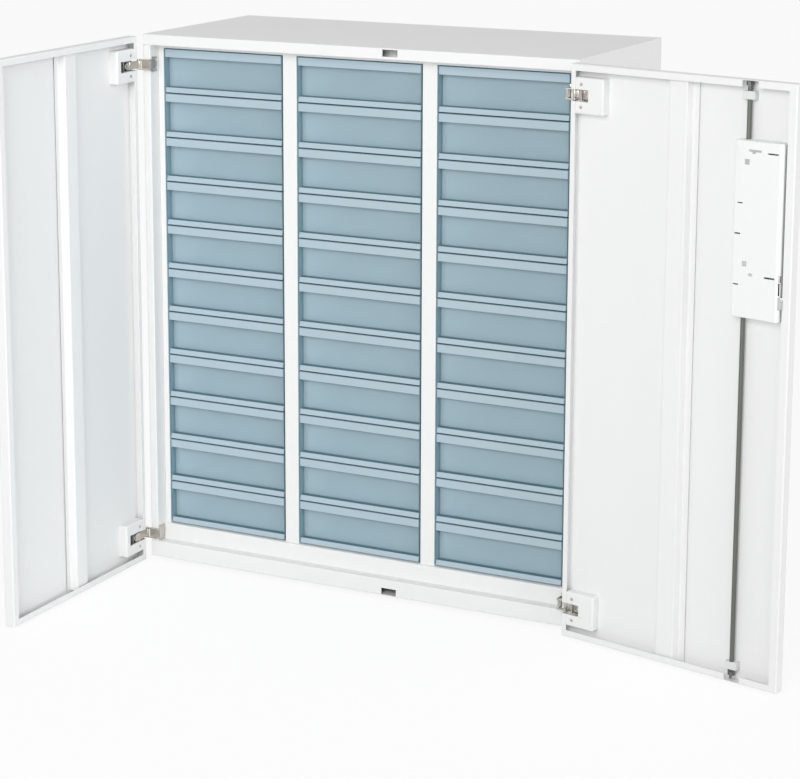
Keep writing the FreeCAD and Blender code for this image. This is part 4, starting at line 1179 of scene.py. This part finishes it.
class CABINET_OT_hinges(bpy.types.Operator):
    """Press the hinge arms on the jambs and the cups in the doors"""

    bl_idname = "cabinet.hinges"
    bl_label = "Hinges"

    def execute(self, context):
        scene = context.scene
        case, door = scene.cabinet_case, scene.cabinet_door
        nickel = plated()
        arms = []
        for word in ("left", "right"):
            for index, level in enumerate(hinge_levels(door)):
                arms += self.arm(word, index, level, case, door)
        dress(joined("jamb_arms", arms), nickel, "cabinet", "nickel", "hinge_arms")
        for word in ("left", "right"):
            cups = []
            for index, level in enumerate(hinge_levels(door)):
                cups += self.cup(word, index, level, case, door)
            cups = hung(joined(f"{word}_cups", cups), word)
            dress(cups, nickel, f"{word}_door", "nickel", f"{word}_hinge_fittings")
        return {"FINISHED"}

    def screw(self, name, middle, span, axis, door):
        """A pan head."""
        head = turned(name, middle, door.screw, span, axis, 24)
        softened(head, door.screw_head / 3, 2)
        return head

    def arm(self, word, index, level, case, door):
        """A plate on the jamb's inner side with two leaves round the pin, and its screws."""
        side = -1 if word == "left" else 1
        half = case.width / 2
        if word == "left":
            pole = (half + door.left_pole_out, -door.left_pole_front)
        else:
            pole = (half - door.right_pole_in, -door.right_pole_front)
        face = half - case.jamb - case.fit - door.base_sheet
        reach = half - case.jamb - case.fit
        sheet = case.sheet
        tall = door.base_height / 2
        plate = block(
            f"plate_{word}_{index}",
            (face, sheet, level - tall),
            (reach, sheet + door.base_length, level + tall),
        )
        notches = []
        for sign in (-1, 1):
            spot = level + sign * tall * 0.5
            low = (face - sheet, sheet + 0.75 * door.base_length, spot - door.leaf / 2)
            high = (reach + sheet, 2 * sheet + door.base_length, spot + door.leaf / 2)
            notches.append(block("notch", low, high))
        carved(plate, notches)
        softened(plate, door.base_sheet / 4)
        outer = door.pocket_height / 2 - door.knuckle_gap
        near, far = pole[1] + door.leaf_half, pole[1] - door.leaf_half
        made = [plate]
        for where, low, high in (("upper", outer - door.leaf, outer), ("lower", -outer, -outer + door.leaf)):
            leaf = block(
                f"leaf_{where}_{word}_{index}", (face, far, level + low), (pole[0], near, level + high)
            )
            leg = block(f"leg_{where}_{word}_{index}", (face, far, level + low), (reach, sheet * 1.5, level + high))
            eye = turned(f"eye_{where}_{word}_{index}", pole, door.knuckle, (level + low, level + high))
            welded(leaf, [leg, eye])
            softened(leaf, door.leaf / 5)
            made.append(leaf)
        if word == "left":
            web = block(
                f"web_{word}_{index}",
                (face, near - sheet / 2, level - outer),
                (pole[0] - door.knuckle - sheet, near + sheet, level + outer),
            )
        else:
            web = block(
                f"web_{word}_{index}", (face, near - sheet / 2, level - outer), (reach, sheet * 1.5, level + outer)
            )
        softened(web, sheet / 2.5, 3)
        pin = turned(f"pin_{word}_{index}", pole, door.pin, (level - outer, level + outer))
        softened(pin, door.pin / 4)
        made += [web, pin]
        for sign in (-1, 1):
            place = (sheet + door.base_length / 2, level + sign * door.arm_screw_offset)
            span = (face - door.screw_head, face)
            made.append(self.screw(f"arm_screw_{word}_{index}_{sign}", place, span, "X", door))
        piece = joined(f"arm_{word}_{index}", made)
        return [mirrored(piece) if side < 0 else piece]

    def cup(self, word, index, level, case, door):
        """A cup in the pocket with the tongue and the knuckle on the pin, and the bracket screws."""
        if word == "left":
            pole = (-door.edge_inset - door.left_pole_out, door.gap - door.left_pole_front)
            sink, far = door.left_cup_sink, door.cup_end
        else:
            pole = (-door.edge_inset + door.right_pole_in, door.gap - door.right_pole_front)
            sink, far = door.right_cup_sink, door.right_cup_end
        half = door.pocket_height / 2 - door.knuckle_gap
        tongue = half - door.leaf - door.knuckle_gap
        cup = block(
            f"cup_{word}_{index}",
            (door.cup_start, -door.depth + case.sheet, level - half),
            (far, -sink, level + half),
        )
        wall = door.leaf / 2
        floor = -door.depth + 2 * case.sheet
        dish = block(
            "dish",
            (door.cup_start + wall, floor, level - half + wall),
            (far - wall, door.gap, level + half - wall),
        )
        carved(cup, [dish])
        softened(cup, wall / 3)
        link_end = door.cup_start + 0.62 * (far - door.cup_start)
        strap = block(
            f"strap_{word}_{index}",
            (pole[0], pole[1] - door.tongue / 2, level - tongue),
            (link_end, pole[1] + door.tongue / 2, level + tongue),
        )
        knuckle = turned(f"knuckle_{word}_{index}", pole, door.knuckle, (level - tongue, level + tongue))
        across = door.cup_start + 2 * door.tongue if word == "left" else 2 * door.tongue
        roll_at = (across, pole[1] - door.tongue / 4)
        roll = turned(f"roll_{word}_{index}", roll_at, door.tongue * 1.1, (level - tongue, level + tongue))
        welded(strap, [knuckle, roll])
        bore = turned("bore", pole, door.pin + case.fit / 4, (level - half * 2, level + half * 2))
        carved(strap, [bore])
        softened(strap, door.tongue / 8, 2)
        seat_at = (link_end, level)
        seat_top = min(pole[1] + door.tongue, -sink)
        seat = turned(f"seat_{word}_{index}", seat_at, tongue * 0.75, (floor - case.sheet / 2, seat_top), "Y")
        carved(seat, [turned("recess", seat_at, tongue * 0.45, (seat_top - door.tongue, door.gap), "Y")])
        softened(seat, door.tongue / 10, 2)
        welded(cup, [welded(seat, [strap])])
        made = [cup]
        for sign in (-1, 1):
            place = (door.screw_at, level + sign * door.screw_offset)
            span = (-door.bracket_sink, -door.bracket_sink + door.screw_head)
            made.append(self.screw(f"bracket_screw_{word}_{index}_{sign}", place, span, "Y", door))
        piece = joined(f"cup_set_{word}_{index}", made)
        return [piece if word == "left" else mirrored(piece)]


class CABINET_OT_lock_rod(bpy.types.Operator):
    """Turn the lock rod with its claws and cut its guides"""

    bl_idname = "cabinet.lock_rod"
    bl_label = "Lock rod"

    def execute(self, context):
        scene = context.scene
        case, door, lock = scene.cabinet_case, scene.cabinet_door, scene.cabinet_lock
        # The rod's dark grey is painted shade on steel.
        dark = surface("rod_grey_painted_shade", scene.cabinet_finishes.rod, 0.42, 900.0, 0.00003, Metallic=0.6)
        grey = surface("guide_plastic", scene.cabinet_finishes.guide, 0.5, 1800.0, 0.00003)
        rod = hung(self.rod(case, lock), "right")
        dress(rod, dark, "lock_rod", "rod", "lock_rod")
        guides = hung(self.guides(case, door, lock), "right")
        dress(guides, grey, "right_door", "guide", "rod_guides")
        return {"FINISHED"}

    def rod(self, case, lock):
        """The rod with a claw at each end."""
        centre = (-lock.rod_at, -lock.rod_sink - lock.rod)
        low = case.bottom + case.hole_rise - lock.claw_height / 2
        high = case.top - case.hole_drop + lock.claw_height / 2
        shaft = turned("shaft", centre, lock.rod, (low, high))
        for start in (low, high - lock.claw_height):
            boss = turned("boss", centre, lock.boss, (start, start + lock.claw_height))
            claw = block(
                "claw", (0, -lock.claw / 2, start), (lock.claw_radius, lock.claw / 2, start + lock.claw_height)
            )
            angle = math.pi - lock.claw_angle
            claw.matrix_world = Matrix.Translation((*centre, 0)) @ Matrix.Rotation(angle, 4, "Z")
            settle(claw, "claw")
            welded(shaft, [boss, claw])
        softened(shaft, lock.rod / 8)
        return settle(shaft, "rod_with_claws")

    def guides(self, case, door, lock):
        """Two blocks that the rod turns in."""
        centre = (-lock.rod_at, -lock.rod_sink - lock.rod)
        made = []
        for index, level in enumerate((door.top - lock.guide_end, door.bottom + lock.guide_end)):
            up = (level - lock.guide_height / 2, level + lock.guide_height / 2)
            across = (lock.rod_at - lock.guide_width / 2, lock.rod_at + lock.guide_width / 2)
            along = (-door.depth + case.sheet, -lock.rod_sink + door.bracket_sheet)
            piece = slab(f"guide_{index}", "right", across, along, up)
            softened(piece, case.sheet, 2)
            bore = turned("bore", centre, lock.rod + case.fit / 4, (up[0] - 1, up[1] + 1))
            made.append(carved(piece, [bore]))
        return joined("guide_pair", made)


class CABINET_OT_lock_case(bpy.types.Operator):
    """Mould the lock case with its slots"""

    bl_idname = "cabinet.lock_case"
    bl_label = "Lock case"

    def execute(self, context):
        scene = context.scene
        case, door, lock = scene.cabinet_case, scene.cabinet_door, scene.cabinet_lock
        cover = hung(self.cover(case, door, lock), "right")
        dress(cover, moulded_white(), "right_door", "white_plastic", "lock_case")
        works = hung(self.works(lock), "right")
        dress(works, lock_metal(), "right_door", "lock_metal")
        return {"FINISHED"}

    def works(self, lock):
        """A latch tag in the side of the cover and plates behind its square openings."""
        stop = lock.case_start + lock.case_width
        depth = (lock.bolt_rise - lock.bolt / 2, lock.bolt_rise + lock.bolt / 2)
        under = (lock.case_proud - 2.4 * lock.case_wall, lock.case_proud - lock.case_wall)
        made = [
            slab("latch_tag", "right", (stop - 5 * lock.case_wall, stop + 0.0006), depth, (0.7177, 0.7281)),
            slab("upper_plate", "right", (0.350, 0.392), under, (0.902, 0.938)),
            slab("lower_plate", "right", (0.350, 0.384), under, (0.716, 0.752)),
        ]
        for piece in made:
            softened(piece, lock.case_wall / 6)
        return joined("latch_works", made)

    def cover(self, case, door, lock):
        """A cover open towards the door sheet, with a wide slope at the free edge."""
        start, stop = lock.case_start, lock.case_start + lock.case_width
        low, high = lock.case_bottom, lock.case_bottom + lock.case_height
        along = (-door.depth + case.sheet, lock.case_proud)
        piece = slab("lock_cover", "right", (start, stop), along, (low, high))
        begin(piece, "FACE")
        pick_faces(piece, lambda spot, normal: normal.y < -0.9)
        bpy.ops.mesh.delete(type="FACE")
        pick_edges(piece, lambda spot, w: abs(spot.y - along[1]) < NEAR and abs(spot.x + stop) < NEAR)
        chamfer(lock.case_proud, 4)
        pick_edges(
            piece,
            lambda spot, w: abs(spot.y - along[1]) < NEAR and abs(spot.x + stop) > 2 * lock.case_proud
            or abs(w.y) > 0.9,
        )
        chamfer(lock.case_wall, 3)
        end()
        thickened(piece, lock.case_wall)
        centre = (-lock.rod_at, -lock.rod_sink - lock.rod)
        tools = [turned("rod_way", centre, lock.rod + case.sheet, (low - 1, high + 1))]
        bolt_up = (lock.bolt_bottom - case.fit, lock.bolt_bottom + lock.bolt_height + case.fit)
        depth = (lock.bolt_rise - lock.bolt / 2 - case.fit, lock.bolt_rise + lock.bolt / 2 + case.fit)
        side = (stop - 3 * lock.case_wall, stop + lock.case_wall)
        tools.append(slab("bolt_way", "right", side, depth, bolt_up))
        dead_up = (bolt_up[1] + lock.case_wall, bolt_up[1] + lock.case_wall + lock.bolt_height)
        tools.append(slab("dead_bolt_way", "right", side, depth, dead_up))
        tools.append(slab("tag_way", "right", side, depth, (dead_up[1] + lock.case_wall, dead_up[1] + 0.0125)))
        tools += self.slots(lock)
        return carved(piece, tools)

    def slots(self, lock):
        """Openings in the front of the cover: across and level, in millimetres."""
        places = [
            ((364, 388), (930, 934)),
            ((370, 377), (927, 931)),
            ((400, 420), (928.5, 931)),
            ((356, 366), (908, 917.5)),
            ((345, 355), (842.5, 844.5)),
            ((341, 352), (790.5, 793)),
            ((357, 366), (737, 746.5)),
            ((369.5, 377.5), (722, 727)),
            ((400, 420), (721.5, 724.5)),
            ((341, 351.5), (704.5, 706.8)),
        ]
        front = lock.case_proud
        tools = []
        for across, up in places:
            across = tuple(value / 1000 for value in across)
            up = tuple(value / 1000 for value in up)
            tools.append(slab("slot", "right", across, (front - 2 * lock.case_wall, front + lock.case_wall), up))
        return tools


class CABINET_OT_handle(bpy.types.Operator):
    """Mould the handle bowl, the lever and the latch bolt"""

    bl_idname = "cabinet.handle"
    bl_label = "Handle and bolt"

    def execute(self, context):
        scene = context.scene
        case, door, lock = scene.cabinet_case, scene.cabinet_door, scene.cabinet_lock
        grey = surface("handle_plastic", scene.cabinet_finishes.handle, 0.4, 1600.0, 0.00003)
        bowl = hung(self.bowl(case, door, lock), "right")
        dress(bowl, grey, "right_door", "handle", "handle_bowl")
        lever = hung(self.lever(case, door, lock), "right")
        dress(lever, grey, "handle_lever", "handle", "handle_lever")
        bolt = hung(self.bolt(door, lock), "right")
        dress(bolt, lock_metal(), "latch_bolt", "lock_metal", "latch_bolt")
        return {"FINISHED"}

    def pin_centre(self, case, door, lock):
        """The lever's pin, from the hinge edge and the inner side."""
        across = lock.bowl_start + case.fit + lock.bowl_wall + lock.pin_inset
        return (-across, -(door.depth - lock.lever / 2 - door.pin))

    def bowl(self, case, door, lock):
        """A recessed bowl with a flange round it."""
        face = -door.depth
        low, high = lock.bowl_bottom, lock.bowl_bottom + lock.bowl_height
        start, stop = lock.bowl_start, lock.bowl_start + lock.bowl_width
        flange = lock.bowl_flange
        piece = slab(
            "bowl", "right", (start - flange, stop + flange), (face - case.sheet, face), (low - flange, high + flange)
        )
        fit = case.fit
        shell = slab(
            "bowl_shell",
            "right",
            (start + fit, stop - fit),
            (face - case.sheet / 2, face + lock.bowl_depth),
            (low + fit, high - fit),
        )
        softened(shell, 2 * lock.bowl_wall, 3)
        welded(piece, [shell])
        wall = fit + lock.bowl_wall
        inside = slab(
            "bowl_inside",
            "right",
            (start + wall, stop - wall),
            (face - 2 * case.sheet, face + lock.bowl_depth - lock.bowl_wall),
            (low + wall, high - wall),
        )
        softened(inside, lock.bowl_wall, 3)
        pin = turned("pin_way", self.pin_centre(case, door, lock), lock.lever_pin, (low - 1, high + 1))
        carved(piece, [inside, pin])
        return softened(piece, case.sheet / 3)

    def lever(self, case, door, lock):
        """A flat lever on an upright pin."""
        wall = case.fit + lock.bowl_wall
        centre = self.pin_centre(case, door, lock)
        start = lock.bowl_start + wall + lock.pin_inset
        stop = lock.bowl_start + lock.bowl_width - wall - lock.finger_gap
        up = (
            lock.bowl_bottom + wall + lock.lever_margin,
            lock.bowl_bottom + lock.bowl_height - wall - lock.lever_margin,
        )
        along = (centre[1] - lock.lever / 2, centre[1] + lock.lever / 2)
        plate = slab("lever", "right", (start, stop), along, up)
        barrel = turned("lever_barrel", centre, lock.lever_pin + lock.lever / 2, up)
        pin_up = (lock.bowl_bottom + case.fit, lock.bowl_bottom + lock.bowl_height - case.fit)
        pin = turned("lever_pin", centre, lock.lever_pin - case.fit / 4, pin_up)
        welded(plate, [barrel, pin])
        return softened(plate, lock.lever / 5, 2)

    def bolt(self, door, lock):
        """A block with a sloped tip."""
        stop = lock.case_start + lock.case_width + lock.bolt_reach
        along = (lock.bolt_rise - lock.bolt / 2, lock.bolt_rise + lock.bolt / 2)
        up = (lock.bolt_bottom, lock.bolt_bottom + lock.bolt_height)
        piece = slab("bolt", "right", (stop - lock.bolt_length, stop), along, up)
        begin(piece, "EDGE")
        pick_edges(piece, lambda spot, w: abs(spot.x + stop) < NEAR and abs(spot.y - along[1]) < NEAR)
        chamfer(lock.bolt / 2, 1)
        end()
        return softened(piece, lock.bolt / 20)


class CABINET_OT_key_lock(bpy.types.Operator):
    """Turn the lock barrel and its plug"""

    bl_idname = "cabinet.key_lock"
    bl_label = "Key lock"

    def execute(self, context):
        scene = context.scene
        case, door, lock = scene.cabinet_case, scene.cabinet_door, scene.cabinet_lock
        metal = lock_metal()
        middle = (-lock.plug_at, lock.plug_level)
        span = (-door.depth - lock.barrel_proud, -door.depth + lock.barrel_length)
        barrel = turned("key_barrel", middle, lock.barrel, span, "Y", 48)
        carved(barrel, [turned("plug_way", middle, lock.plug + case.fit / 4, (-1, 1), "Y", 48)])
        softened(barrel, lock.barrel_proud / 4)
        dress(hung(barrel, "right"), metal, "right_door", "lock_metal", "lock_barrel")
        plug = turned("key_plug", middle, lock.plug, span, "Y", 48)
        softened(plug, lock.barrel_proud / 4)
        across = (lock.plug_at - lock.key_slot / 2, lock.plug_at + lock.key_slot / 2)
        tall = lock.plug * 0.6
        up = (lock.plug_level - tall, lock.plug_level + tall)
        depth = (span[0] - lock.barrel_proud, -door.depth + lock.barrel_length / 2)
        carved(plug, [slab("key_way", "right", across, depth, up)])
        dress(hung(plug, "right"), metal, "lock_plug", "lock_metal", "lock_plug")
        return {"FINISHED"}


OPERATORS = [
    CABINET_OT_stage,
    CABINET_OT_case,
    CABINET_OT_feet,
    CABINET_OT_uprights,
    CABINET_OT_trays,
    CABINET_OT_doors,
    CABINET_OT_hinges,
    CABINET_OT_lock_rod,
    CABINET_OT_lock_case,
    CABINET_OT_handle,
    CABINET_OT_key_lock,
]

GROUPS = {
    "cabinet_case": CaseSizes,
    "cabinet_tray": TraySizes,
    "cabinet_door": DoorSizes,
    "cabinet_lock": LockSizes,
    "cabinet_finishes": Finishes,
    "cabinet_stage": StageSettings,
}


class CABINET_PT_panel(bpy.types.Panel):
    """Buttons and sizes of the tray storage cabinet"""

    bl_idname = "CABINET_PT_panel"
    bl_label = "Tray storage cabinet"
    bl_space_type = "VIEW_3D"
    bl_region_type = "UI"
    bl_category = "Cabinet"

    def draw(self, context):
        layout = self.layout
        for operator in OPERATORS:
            layout.operator(operator.bl_idname)
        for attribute, group in GROUPS.items():
            box = layout.box()
            box.label(text=group.__doc__)
            for word in group.__annotations__:
                box.prop(getattr(context.scene, attribute), word)


def register():
    for group in GROUPS.values():
        bpy.utils.register_class(group)
    for attribute, group in GROUPS.items():
        setattr(bpy.types.Scene, attribute, PointerProperty(type=group))
    for operator in OPERATORS:
        bpy.utils.register_class(operator)
    bpy.utils.register_class(CABINET_PT_panel)


def unregister():
    bpy.utils.unregister_class(CABINET_PT_panel)
    for operator in reversed(OPERATORS):
        bpy.utils.unregister_class(operator)
    for attribute in GROUPS:
        delattr(bpy.types.Scene, attribute)
    for group in reversed(GROUPS.values()):
        bpy.utils.unregister_class(group)


def main():
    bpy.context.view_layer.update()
    register()
    for operator in OPERATORS:
        area, word = operator.bl_idname.split(".")
        getattr(getattr(bpy.ops, area), word)()


if __name__ == "__main__":
    main()
